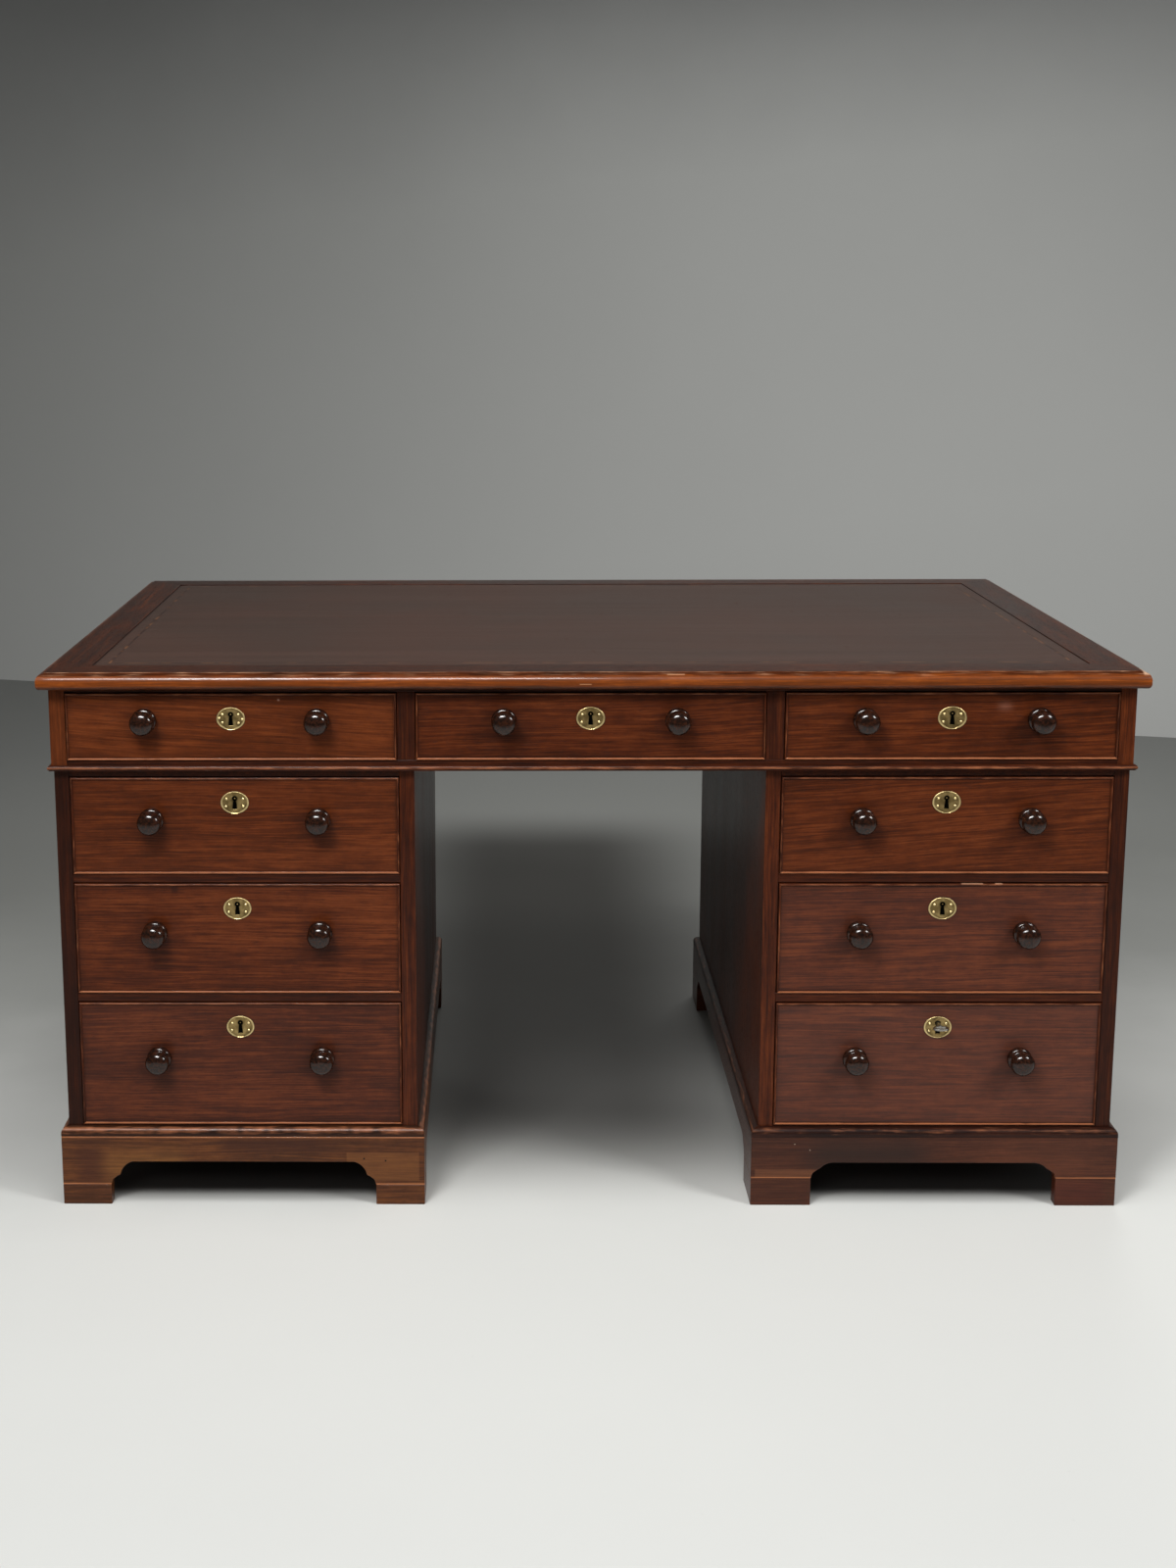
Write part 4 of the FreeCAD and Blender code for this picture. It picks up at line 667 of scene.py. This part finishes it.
# %% Two plinth finishes, with their repairs
SEAM, NAIL_HOLE, PALE_NICK = srgb(178, 112, 70), srgb(14, 8, 6), srgb(200, 176, 154)
LEFT_PLINTH = mahogany(
    "left_plinth_mahogany", srgb(34, 16, 6), srgb(68, 35, 15), srgb(104, 60, 25), RUBBED, coat=0.18,
    patches=[
        # a faded middle, a dark run under the moulding, a board let in at the right, a dark corner
        (-0.640, 0.060, 0.060, 0.022, 0.018, srgb(128, 84, 40), 0.4),
        (-0.455, 0.092, 0.070, 0.010, 0.012, srgb(50, 22, 12), 0.6),
        (-0.294, 0.058, 0.052, 0.0215, 0.0006, srgb(116, 72, 36), 0.5),
        (-0.715, 0.060, 0.018, 0.03, 0.014, srgb(60, 26, 14), 0.5),
        (-0.321, 0.070, 0.0012, 0.0012, 0.0005, NAIL_HOLE, 1.0),
        (-0.290, 0.067, 0.0012, 0.0012, 0.0005, NAIL_HOLE, 1.0),
        # the seams under the moulding and above the new feet
        (-0.495, 0.1022, 0.262, 0.0009, 0.0005, SEAM, 0.6),
        (-0.495, 0.0312, 0.262, 0.0012, 0.0006, SEAM, 0.7)])
RIGHT_PLINTH = mahogany(
    "right_plinth_mahogany", srgb(25, 9, 6), srgb(51, 23, 14), srgb(78, 39, 22), RUBBED, coat=0.22,
    patches=[
        # a dark left half, a strip let in at the left, a redder right half and its new foot
        (0.400, 0.078, 0.085, 0.022, 0.03, srgb(30, 20, 16), 0.75),
        (0.288, 0.048, 0.048, 0.0065, 0.001, srgb(112, 68, 42), 0.5),
        (0.640, 0.070, 0.075, 0.025, 0.03, srgb(104, 56, 34), 0.35),
        (0.680, 0.020, 0.060, 0.018, 0.01, srgb(84, 30, 22), 0.3),
        # the seam above the new feet, and two nicks
        (0.495, 0.0422, 0.262, 0.0010, 0.0006, SEAM, 0.55),
        (0.296, 0.093, 0.0009, 0.0006, 0.0005, PALE_NICK, 0.7),
        (0.318, 0.084, 0.0006, 0.0009, 0.0005, PALE_NICK, 0.6)])
print("plinth finishes:", LEFT_PLINTH.name, RIGHT_PLINTH.name)

# %% Plinths and feet
PLINTH_HALF_X, PLINTH_HALF_Y = 261, 462  # mm
PLAIN_OVOLO = (4, 5, 6, 7)  # the solids of a plinth that the swept ovolo stands for
ovolo = np.concatenate([
    [[10.0, 103.0], [0.6, 103.0], [0.0, 103.8], [0.0, 107.0]],
    arc((9.0, 107.6), 9.0, 4, 80, 9),
    [[8.6, 117.0], [10.0, 117.0]]])
# wear on the ovolo's crest, which also paints its highlight
ovolo_wear_and_highlight = np.concatenate([
    [0, 0, 0.2, 0.5], np.interp(np.linspace(0, 1, 9), [0, 0.5, 1], [0.6, 1.0, 0.5]), [0.2, 0]])
foot_tones = {index: (0.0, 0.12, 0.0) for index in range(4)}
# the left plinth's crest is worn paler, partly as a painted highlight
for side, centre, finish, wear in (("left", -495, LEFT_PLINTH, 0.66), ("right", 495, RIGHT_PLINTH, 0.45)):
    tops = moulding(ovolo, PLINTH_HALF_X, PLINTH_HALF_Y, centre, 700 + centre, ovolo_wear_and_highlight, wear,
                    (-0.42, 0.0), 70)
    brackets = [softened(points, triangles, 0.7, None, 800 + index + centre, (0.05, 0.1, 0.05), rub=0.25)
                for index, (points, triangles) in enumerate(node_solids(side + "_plinth"))
                if index not in PLAIN_OVOLO]
    piece(side + "_plinth_boards", tops + brackets, finish, "desk", "mahogany", side + "_plinth")
    dressed(side + "_foot_tips", finish, "desk", "mahogany", 1.0, tones=foot_tones, rub=0.35)
print("plinths laid, each with", len(tops), "mouldings and", len(brackets), "boards and blocks")

# %% [markdown]
# ## Turned knobs
# Each knob is turned from dark wood: a fat bead lies against the drawer, then comes a narrow neck and
# a round head of the bead's own width. A stock sphere has no neck and no flat crown. A lathe does the
# real sum: a profile of radius and depth, smoothed through its points, is carried round the axis.

# %% A knob from a profile
LATHE_STEPS = 48


def smooth_line(points, steps):
    """A Catmull-Rom curve: each span is the cubic through its ends with slopes from its neighbours."""
    points = np.asarray(points, float)
    padded = np.concatenate([[2 * points[0] - points[1]], points, [2 * points[-1] - points[-2]]])
    before, start, stop, after = padded[:-3], padded[1:-2], padded[2:-1], padded[3:]
    t = np.linspace(0, 1, steps, endpoint=False)[None, :, None]
    cubic = 0.5 * (2 * start[:, None] + (stop - before)[:, None] * t
                   + (2 * before - 5 * start + 4 * stop - after)[:, None] * t ** 2
                   + (3 * start - before - 3 * stop + after)[:, None] * t ** 3)
    return np.concatenate([cubic.reshape(-1, 2), points[-1:]])


def capped_rings(rows, around):
    """The faces of rings of points, one behind the other, with one face over each end."""
    return [*grid_faces(rows, around, round_columns=True), np.arange(around)[::-1],
            (rows - 1) * around + np.arange(around)]


def lathe(profile, around=LATHE_STEPS):
    """A closed shape turned about the y axis: radius times (cosine, sine) in x and z, depth in -y."""
    radius, depth = np.maximum(np.asarray(profile, float), [0.02, -99]).T
    angle = np.linspace(0, 2 * np.pi, around, endpoint=False)
    points = np.stack([radius[:, None] * np.cos(angle), -depth[:, None] + 0 * angle,
                       radius[:, None] * np.sin(angle)], -1)
    return points.reshape(-1, 3), capped_rings(len(radius), around)


KNOB = smooth_line([
    (15.4, 0.0), (16.6, 1.2), (17.4, 4.0), (17.6, 7.0), (17.2, 9.6), (15.6, 11.4), (13.0, 12.6),
    (11.6, 14.4), (11.8, 16.6), (13.8, 18.6), (15.9, 20.6), (16.9, 23.2), (17.1, 26.0), (16.4, 28.8),
    (14.7, 31.4), (12.0, 33.6), (8.4, 35.1), (4.4, 35.8), (0.02, 36.0)], 3)
KNOB_WEAR = np.interp(KNOB[:, 1], [0, 8, 12, 15, 20, 26, 34], [0.1, 0.3, 0, 0, 0.1, 0.28, 0.12])


def set_on(points, faces, x, face, z, way):
    """Points drawn about the origin, with -y outwards, are moved to (x, face, z). way is -1 at the
    front of the desk and 1 at its back, where the shape is mirrored and its faces turn with it."""
    return points * [1, -way, 1] + [x, face, z], faces if way < 0 else turned_over(faces)


def knob(x, face, z, way, seed):
    placed, faces = set_on(*lathe(KNOB), x, face, z, way)
    wear = np.repeat(KNOB_WEAR, LATHE_STEPS)
    return shape(placed, faces, along_grain(placed, 1, seed), np.stack([0 * wear, 0 * wear, wear], -1))


print("knob profile:", len(KNOB), "rings")

# %% [markdown]
# ## Lock plates
# An oval brass plate covers each keyhole. It has a raised rim, a flat field and small domed pins. The
# plate is a ruled ring: every angle has one point on the keyhole and one on the oval, and the rows
# between them are steps from the first to the second, with a height for each step.

# %% The keyhole
KEYHOLE_NECK = 3.2  # mm above the middle of the plate


def keyhole_reach(angle, grow=0.0):
    """How far the keyhole's edge lies from its neck, by angle: the farther of a round head of radius
    3.6 centred 2.7 above the neck, and a skirt that widens from 1.9 to 3.6 over 12.5 downwards."""
    up, out = np.sin(angle), np.abs(np.cos(angle))
    radius = 3.6 + grow
    head = 2.7 * up + np.sqrt(np.maximum((2.7 * up) ** 2 + radius ** 2 - 2.7 ** 2, 0))
    side = (1.9 + grow) / np.maximum(out - 0.136 * np.maximum(-up, 0), 1e-3)
    foot = (12.5 + grow) / np.maximum(-up, 1e-3)
    return np.maximum(head, np.where(up < 0, np.minimum(side, foot), 0))


def keyhole_outline(around, grow=0.0):
    """Directions all round the neck, and the points of the keyhole's edge that they meet."""
    angle = np.linspace(0, 2 * np.pi, around, endpoint=False) + 1e-3
    beam = np.stack([np.cos(angle), np.sin(angle)], -1)
    return beam, beam * keyhole_reach(angle, grow)[:, None] + [0, KEYHOLE_NECK]


def keyhole_shade_dish(x, face, z, way, around=72):
    """Painted shade for the dark inside of the keyhole: a near-black shallow dish a little wider than
    the hole, behind the plate. Each row is the outline drawn in towards the neck by a share, at a depth."""
    rim_x, rim_z = keyhole_outline(around, 0.4)[1].T
    rows = [(1.0, -0.05), (1.0, -0.45), (0.5, -0.36), (0.02, -0.34)]
    points = np.concatenate([
        np.stack([rim_x * share, depth + 0 * rim_x, KEYHOLE_NECK + (rim_z - KEYHOLE_NECK) * share], -1)
        for share, depth in rows])
    placed, faces = set_on(points, capped_rings(len(rows), around), x, face, z, way)
    return shape(placed, faces, None, (-1.0, 0.0, 0.0))


print("keyhole: mm to the right and above the plate's middle", *keyhole_outline(72)[1].max(0).round(2))

# %% Plates, pins and the drill pin of the lock
PLATE_HALF_X, PLATE_HALF_Z = 20.0, 16.0  # mm
# rows of the plate from the keyhole to the oval: share of the way, height and lightness, which
# paints shade in the keyhole and at the plate's edge and a highlight on the rim
PLATE_SHARE = np.array([0, 0, 0.04, 0.1, 0.3, 0.6, 0.82, 0.86, 0.92, 0.97, 1.0, 1.0])
PLATE_HEIGHT = np.array([0, 0.6, 0.85, 1.0, 1.0, 1.0, 1.0, 1.35, 1.55, 1.3, 0.7, 0.0])
PLATE_PAINTED_LIGHT = np.array([-1, -0.8, -0.45, -0.2, 0, 0, -0.25, 0.3, 0.85, 0.5, -0.2, -0.8])
# rings of a domed pin: radius and height, and the lightness of each ring, which paints shadow round
# the pin's foot and a highlight on its head
PIN = [(2.5, 0.9), (2.45, 1.08), (2.0, 1.1), (1.9, 1.3), (1.6, 1.85), (0.9, 2.15), (0.02, 2.2)]
PIN_PAINTED_LIGHT = [-0.9, -0.9, -0.6, 0.2, 1.0, 1.0, 1.0]
DRILL_PIN, DRILL_PIN_Z = [(0.9, -0.2), (0.9, 0.3), (0.6, 0.6), (0.02, 0.7)], 5.9
FOUR_PINS = [(-11.4, 5.5), (-12.2, -5.3), (11.6, 5.5), (11.8, -5.0)]
SIX_PINS = [(-16.0, 0.8), (-11.4, 6.2), (-11.6, -5.2), (10.6, 6.0), (15.8, -0.8), (10.8, -6.0)]


def lock_plate(x, face, z, way, pins, around=72):
    """Plate and pins about the plate's centre (x, z). The oval lies where a line from the neck meets
    the ellipse, which is the larger root of a quadratic with the coefficients a, b and c."""
    beam, inner = keyhole_outline(around)
    wide, high = PLATE_HALF_X ** 2, PLATE_HALF_Z ** 2
    a, b = (beam ** 2 / [wide, high]).sum(1), 2 * beam[:, 1] * KEYHOLE_NECK / high
    c = KEYHOLE_NECK ** 2 / high - 1
    outer = beam * ((-b + np.sqrt(b * b - 4 * a * c)) / (2 * a))[:, None] + [0, KEYHOLE_NECK]
    flat = inner[None] + PLATE_SHARE[:, None, None] * (outer - inner)[None]
    rise = np.broadcast_to(-PLATE_HEIGHT[:, None], flat.shape[:2])
    plate = np.stack([flat[..., 0], rise, flat[..., 1]], -1).reshape(-1, 3)
    ring = grid_faces(len(PLATE_SHARE), around, round_rows=True, round_columns=True)[:, ::-1]
    parts = [(plate, list(ring), np.repeat(PLATE_PAINTED_LIGHT, around)[:, None] * [1, 0, 0])]
    dome, dome_faces = lathe(PIN, 14)
    dome_tone = np.repeat(PIN_PAINTED_LIGHT, 14)[:, None] * [1, 0, 0]
    parts += [(dome + [pin_x, 0, pin_z], dome_faces, dome_tone) for pin_x, pin_z in pins]
    drill, drill_faces = lathe(DRILL_PIN, 12)
    parts.append((drill + [0, 0, DRILL_PIN_Z], drill_faces, (-0.2, 0.0, 0.0)))
    return [keyhole_shade_dish(x, face, z, way)] + [
        shape(*set_on(points, faces, x, face, z, way), None, tone) for points, faces, tone in parts]


print("a plate has", len(PLATE_SHARE), "rows and", len(FOUR_PINS), "or", len(SIX_PINS), "pins")

# %% [markdown]
# ## Drawer fronts
# A front is a solid board with sockets for the drawer's tails, framed by four cock beads that stand
# slightly proud so that the edge of the board can't chip. The board is a softened copy of its solid,
# so the sockets and the keyhole stay true. Its polished face is a fine sheet laid on it, which
# carries painted shadow a little below each knob and is darker along the beads and round the plate.

# %% Cock beads
# the bead's profile (distance inside the front's edge, height out of its face) and how proud it stands
CROWN = np.array([[0, -6.0], [0, 1.3], [0.25, 1.95], [0.8, 2.35], [1.6, 2.5], [2.4, 2.35],
                  [2.95, 1.95], [3.2, 1.3], [3.2, -6.0]])
CROWN_CREST = np.array([0, 0.25, 0.6, 0.95, 1.0, 0.9, 0.6, 0.2, 0])
# wear on the crest of each bead, raised on the lower bead, which faces up, as a painted highlight
BEAD_WEAR_AND_HIGHLIGHT = [0.56, 0.42, 1.0, 0.42]  # upper, right, lower and left


def cock_beads(low_x, high_x, low_z, high_z, face, way, seed):
    """A rounded strip round a rectangle that stands upright: the mitred side again, turned so that
    its outward direction lies in the drawer's face and its height comes out of it."""
    half_x, half_z = (high_x - low_x) / 2, (high_z - low_z) / 2
    centre_x, centre_z = (high_x + low_x) / 2, (high_z + low_z) / 2
    shapes = []
    for turn, rub in enumerate(BEAD_WEAR_AND_HIGHLIGHT):
        long, wide = (half_x, half_z) if turn % 2 == 0 else (half_z, half_x)
        points, faces, tones = mitred_side(CROWN, long, wide, 48, seed + turn, CROWN_CREST, rub,
                                           (-0.3, 0.0), 0.12)
        grain = along_grain(points, 0, seed + turn)
        x, y, z = points.T
        spun = [(x, y), (y, -x), (-x, -y), (-y, x)][turn]
        placed = np.stack([spun[0] + centre_x, face + way * z, spun[1] + centre_z], -1)
        shapes.append(shape(placed, faces if way > 0 else turned_over(faces), grain, tones))
    return shapes


print("a cock bead stands", CROWN[:, 1].max(), "mm proud")

# %% Polished faces
def bell(x, z, centre, wide, high):
    """1 at the centre and falling off smoothly, by the square of the distance in widths."""
    return np.exp(-(((x - centre[0]) / wide) ** 2 + ((z - centre[1]) / high) ** 2))


def polished_face(low_x, high_x, low_z, high_z, face, way, knobs, plate, tone, seed, slope):
    """A thin closed sheet on a grid, with a hole under the plate. Its lightness drops by a bell a little
    below each knob, which paints the knob's shadow, along the beads and round the plate, and it changes
    by a slow uneven wash."""
    columns, rows = 110, max(int((high_z - low_z) / 4), 12)
    x, z = np.meshgrid(np.linspace(low_x, high_x, columns), np.linspace(low_z, high_z, rows))
    # painted shadow a little below each knob
    dark = sum(bell(x, z, (knob_x, knob_z - 13), 29, 26) for knob_x, knob_z in knobs) * 0.4
    edge = np.minimum(np.minimum(x - low_x, high_x - x), np.minimum(z - low_z, high_z - z))
    dark = dark + 0.22 * np.exp(-edge / 5) + 0.08 * bell(x, z, plate, 28, 22)
    wash = (0.09 * wavering(x / 1000 * 0.8 + z / 1000 * 2, seed)
            + 0.06 * wavering(z / 1000 * 3, seed + 1))
    front = np.stack([x, face + way * 0.3 + 0 * x, z], -1).reshape(-1, 3)
    hidden = front + [0, -way * 0.8, 0]
    hole = ((x - plate[0]) / 17) ** 2 + ((z - plate[1]) / 13) ** 2 < 1
    faces = grid_faces(rows, columns)
    faces = faces[~hole.ravel()[faces].any(1)]
    # an edge that only one face uses lies on the rim, and gets a wall
    edges = np.concatenate([faces[:, [i, (i + 1) % 4]] for i in range(4)])
    pairs = {tuple(edge) for edge in edges.tolist()}
    rim = np.array([edge for edge in edges.tolist() if (edge[1], edge[0]) not in pairs])
    count = rows * columns
    walls = np.stack([rim[:, 1], rim[:, 0], rim[:, 0] + count, rim[:, 1] + count], -1)
    both = np.concatenate([faces, faces[:, ::-1] + count, walls])
    used, order = np.unique(both, return_inverse=True)
    both = list(order.reshape(-1, 4))
    points = np.concatenate([front, hidden])
    shade = np.tile((tone[0] + wash - dark).ravel(), 2)
    tones = np.stack([shade, tone[1] + 0 * shade, 0 * shade], -1)
    grain = along_grain(points, 0, seed, slope)
    return shape(points[used], both if way < 0 else turned_over(both), grain[used], tones[used])


print("a bell falls to", bell(1.0, 0.0, (0.0, 0.0), 1.0, 1.0).round(3), "at its width")

# %% [markdown]
# ## Every drawer
# Twelve drawers are made alike, so one loop dresses them all. Their fronts were cut from different
# boards: each has a lightness, a warmth and a slope of the grain of its own. The edges of a front and
# the places of its knobs are read from the solids. A plate lies midway across its lock, at a fixed drop
# below the front's upper edge.

# %% Every drawer
FRONTS = {  # lightness, warmth, slope of the grain
    "frieze_left": (0.04, 0.12, -0.06),
    "frieze_centre": (-0.07, 0.03, 0.02),
    "frieze_right": (-0.02, 0.05, 0.03),
    "left_upper": (0.05, 0.08, 0.0),
    "left_middle": (0.0, 0.02, -0.01),
    "left_lower": (-0.08, -0.06, 0.01),
    "right_upper": (-0.03, 0.06, 0.07),
    "right_middle": (0.01, -0.1, 0.02),
    "right_lower": (0.0, -0.18, 0.0),
    "back_left": (0.0, 0.1, 0.02),
    "back_centre": (-0.05, 0.05, 0.0),
    "back_right": (0.04, 0.0, -0.03)}
PLATE_DROP = 36.0      # mm from a front's upper edge to the middle of its plate
BEAD_WIDTH = 3         # mm
FIRST_KNOB = 5         # a front's solids are its board, four beads and two knobs
for number, (drawer, (*tone, slope)) in enumerate(FRONTS.items()):
    body, seed = drawer + "_drawer", 100 + 10 * number
    solids = node_solids(drawer + "_front")
    boxes = [solid_box(*solid) for solid in solids]
    way = 1 if drawer.startswith("back") else -1
    (low_x, low_y, low_z), (high_x, high_y, high_z) = boxes[0]
    face = high_y if way > 0 else low_y
    knobs = [((low[0] + high[0]) / 2, (low[2] + high[2]) / 2) for low, high in boxes[FIRST_KNOB:]]
    plate_low, plate_high = [np.array(corner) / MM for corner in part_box(drawer + "_lock")]
    plate = ((plate_low[0] + plate_high[0]) / 2, high_z - PLATE_DROP)
    board = softened(*solids[0], 0.4, 0, seed, (tone[0] - 0.15, tone[1], 0.0))
    sheet = polished_face(low_x + BEAD_WIDTH, high_x - BEAD_WIDTH, low_z + BEAD_WIDTH, high_z - BEAD_WIDTH,
                          face, way, knobs, plate, tone, seed, slope)
    beads = cock_beads(low_x, high_x, low_z, high_z, face, way, seed + 1)
    piece(drawer + "_front_board", [board, sheet] + beads, POLISHED, body, "mahogany", drawer + "_front")
    turned = [knob(x, face, z, way, seed + 5) for x, z in knobs]
    piece(drawer + "_knobs", turned, TURNED, body, "mahogany", drawer + "_front")
    pins = SIX_PINS if drawer == "frieze_left" else FOUR_PINS
    case = softened(*node_solids(drawer + "_lock")[1], 0.4, tone=(-0.5, 0.0, 0.0))
    piece(drawer + "_lock_plate", lock_plate(plate[0], face, plate[1], way, pins) + [case],
          BRASS, body, "brass", drawer + "_lock")
    dressed(drawer + "_box", PINE, body, "lining", 0.5)
print(len(FRONTS), "drawers dressed")

# %% [markdown]
# ## Cupboard doors, key and bolt
# The far side of each pedestal has a framed door with a sunk panel, hung on brass butts. Its boards
# are softened copies, with a turned knob and a plate like the drawers'.

# %% Doors, key and bolt
DOOR_FACE, DOOR_KNOB_Z, DOOR_PLATE_Z = 452, 355, 408  # mm
for side, lock_x in (("left", -296), ("right", 296)):
    body = side + "_cupboard_door"
    boards = [softened(points, triangles, 0.9, None, 900 + index + lock_x, (-0.05, 0.0, 0.1))
              for index, (points, triangles) in enumerate(node_solids(side + "_door")[:5])]
    piece(side + "_door_boards", boards, POLISHED, body, "mahogany", side + "_door")
    piece(side + "_door_knob", [knob(lock_x, DOOR_FACE, DOOR_KNOB_Z, 1, 320)], TURNED,
          body, "mahogany", side + "_door")
    leaves = [softened(*solid, 0.15, sharp=60.0) for solid in node_solids(side + "_door_brass")[:2]]
    piece(side + "_door_fittings", leaves + lock_plate(lock_x, DOOR_FACE, DOOR_PLATE_Z, 1, FOUR_PINS),
          BRASS, body, "brass", side + "_door_brass")
dressed("drawer_key", STEEL, "key", "steel", 0.2, sharp=60.0)
dressed("lock_bolt", BRASS, "bolt", "brass", 0.3)
print("doors, key and bolt dressed")

# %% [markdown]
# ## The room
# The desk stands on a pale painted floor that falls into shade towards a grey wall. Both are stage,
# not part of the desk. Their fall of light could come from many lamps, but it lies in their own paint
# here, so that the lamps stay few and light the desk at a plain level.

# %% Floor and wall
def painted(name, along, stops, grit, shades=()):
    """Matt paint whose grey changes along one direction of the room as a painted fall of light, with
    faint blotches. shades are painted shadows (x, y, half width, half depth, soft edge, amount) under
    and behind the desk. The back of a painted sheet is see-through, so that the wall doesn't hide the
    desk from behind."""
    paint = Finish(name)
    place = paint.node("TexCoord", out=3)
    x, y, z = paint.parts(place)
    blotch = paint.noise(place, 1.7, 5.0, 0.6) - 0.5
    run = along(x, y, z) + blotch * 0.04
    colour = paint.node("ValToRGB", {"stops": stops}, {0: run})
    speck = paint.noise(place, 46.0, 3.0, 0.7).over(0.7, 0.8)
    colour = paint.tint(speck * 0.12, colour, srgb(150, 150, 146))
    for centre_x, centre_y, half_x, half_y, soft, amount in shades:
        under = ((1.0 - abs(x - centre_x).over(half_x - soft, half_x))
                 * (1.0 - abs(y - centre_y).over(half_y - soft, half_y)))
        colour = paint.tint(under * amount, colour, srgb(34, 30, 26))
    coat = paint.node("BsdfPrincipled", sockets={
        "Base Color": colour, "Roughness": 0.6, "Normal": paint.bump(blotch, grit, 0.002)})
    backfacing, clear = paint.node("NewGeometry", out=6), paint.node("BsdfTransparent")
    shown = paint.node("MixShader", sockets={0: backfacing, 1: coat, 2: clear})
    paint.node("OutputMaterial", sockets={0: shown})
    return paint.material


def stage_sheet(name, corners, finish):
    """A flat sheet between four corners, in metres, that isn't part of the object."""
    mesh = bpy.data.meshes.new(name)
    mesh.from_pydata(corners, [], [(0, 1, 2, 3)])
    mesh.materials.append(finish)
    sheet = bpy.data.objects.new(name, mesh)
    bpy.context.scene.collection.objects.link(sheet)


FLOOR = painted(
    "floor_paint", lambda x, y, z: (y + 6.0) / 12.0 - x * 0.01,
    [(0.0, srgb(104, 105, 103)), (0.24, srgb(114, 115, 113)), (0.335, srgb(210, 211, 208)),
     (0.458, srgb(224, 225, 221)), (0.503, srgb(202, 203, 199)), (0.55, srgb(157, 158, 154)),
     (0.61, srgb(132, 133, 129)), (0.73, srgb(122, 123, 120))], 0.1,
    # painted shadows under each pedestal, then between and behind them
    [(-0.495, 0.0, 0.262, 0.46, 0.06, 0.86), (0.495, 0.0, 0.262, 0.46, 0.06, 0.86),
     (-0.03, 0.72, 0.5, 1.2, 0.4, 0.84)])
WALL = painted(
    "wall_paint", lambda x, y, z: z / 4.0 - x * (0.085 - z * 0.040) + 0.1,
    [(0.0, srgb(197, 198, 195)), (0.2, srgb(188, 189, 186)), (0.5, srgb(156, 157, 154)),
     (0.66, srgb(109, 110, 108)), (1.0, srgb(56, 57, 55))], 0.05)
stage_sheet("floor", [(-7, -6, 0), (7, -6, 0), (7, 7, 0), (-7, 7, 0)], FLOOR)
stage_sheet("wall", [(-5, 4.63, 0), (6, 1.68, 0), (6, 1.68, 5), (-5, 4.63, 5)], WALL)
print("stage:", FLOOR.name, "and", WALL.name)

# %% [markdown]
# ## Lights
# Two windows stand before the desk, left and right, and a broad light hangs overhead. Weak fills at the
# front and the back open the shade, and the world adds a little everywhere. The windows alone would
# leave the knobs dull, so a card that only reflections see draws their glint.

# %% Lights
def soft_light(name, place, aim, size, watts, shines=True, lights=True):
    """A soft box. One that doesn't shine stays out of reflections, and one that doesn't light is seen
    only in them, as the bright card that shapes the glint on a polished knob."""
    lamp = bpy.data.lights.new(name, "AREA")
    lamp.shape, lamp.size, lamp.size_y, lamp.energy = "RECTANGLE", size[0], size[1], watts
    made = bpy.data.objects.new(name, lamp)
    made.location = place
    made.rotation_euler = (Vector(aim) - Vector(place)).to_track_quat("-Z", "Y").to_euler()
    made.visible_glossy, made.visible_diffuse = shines, lights
    bpy.context.scene.collection.objects.link(made)


DESK_MIDDLE = (0, 0, 0.5)
WORLD_STRENGTH = 0.09
# name, place and aim in metres, width and height, watts
soft_light("left_window", (-1.0, -2.3, 2.7), DESK_MIDDLE, (0.85, 0.8), 56.0)
soft_light("right_window", (2.3, -1.9, 2.2), (0, 0, 0.4), (0.8, 0.75), 48.0)
soft_light("overhead", (-0.3, -1.0, 3.0), DESK_MIDDLE, (1.8, 0.8), 30.0, shines=False)
soft_light("knob_glint", (-0.5, -2.9, 3.3), DESK_MIDDLE, (1.3, 0.8), 140.0, lights=False)
soft_light("front_fill", (-1.2, -4.6, 2.8), DESK_MIDDLE, (2.0, 0.9), 18.0, shines=False)
soft_light("back_fill", (0.6, 2.3, 2.9), (0, 0.3, 0.4), (1.8, 0.8), 38.0, shines=False)
world = bpy.data.worlds.new("room")
world.use_nodes = True
background = world.node_tree.nodes["Background"].inputs
background["Color"].default_value = (1.0, 0.99, 0.97, 1.0)
background["Strength"].default_value = WORLD_STRENGTH
bpy.context.scene.world = world
print(len(bpy.data.lights), "lights")

# %% [markdown]
# ## Camera
# The camera stands straight before the desk, half a metre above its top. Its turn is given as yaw,
# pitch and roll in radians, from which come its three directions, the columns of its rotation.

# %% Camera
EYE = (-0.12421, -3.30616, 1.28715)
YAW, PITCH, ROLL = -0.0145, -0.1924, -0.0042
lens = bpy.data.cameras.new("camera")
lens.lens, lens.sensor_width, lens.shift_x, lens.shift_y = 48.37, 36.0, 0.075, -0.05
ahead = np.array([np.sin(YAW) * np.cos(PITCH), np.cos(YAW) * np.cos(PITCH), np.sin(PITCH)])
right = np.array([np.cos(YAW), -np.sin(YAW), 0.0])
up = np.cross(right, ahead)
turned_right = np.cos(ROLL) * right + np.sin(ROLL) * up
turned_up = np.cos(ROLL) * up - np.sin(ROLL) * right
camera = bpy.data.objects.new("camera", lens)
camera.location = EYE
camera.rotation_euler = Matrix(np.stack([turned_right, turned_up, -ahead], 1).tolist()).to_euler()
bpy.context.scene.collection.objects.link(camera)
bpy.context.scene.camera = camera
bpy.context.scene.view_settings.view_transform = "Standard"
print("camera at", *EYE)
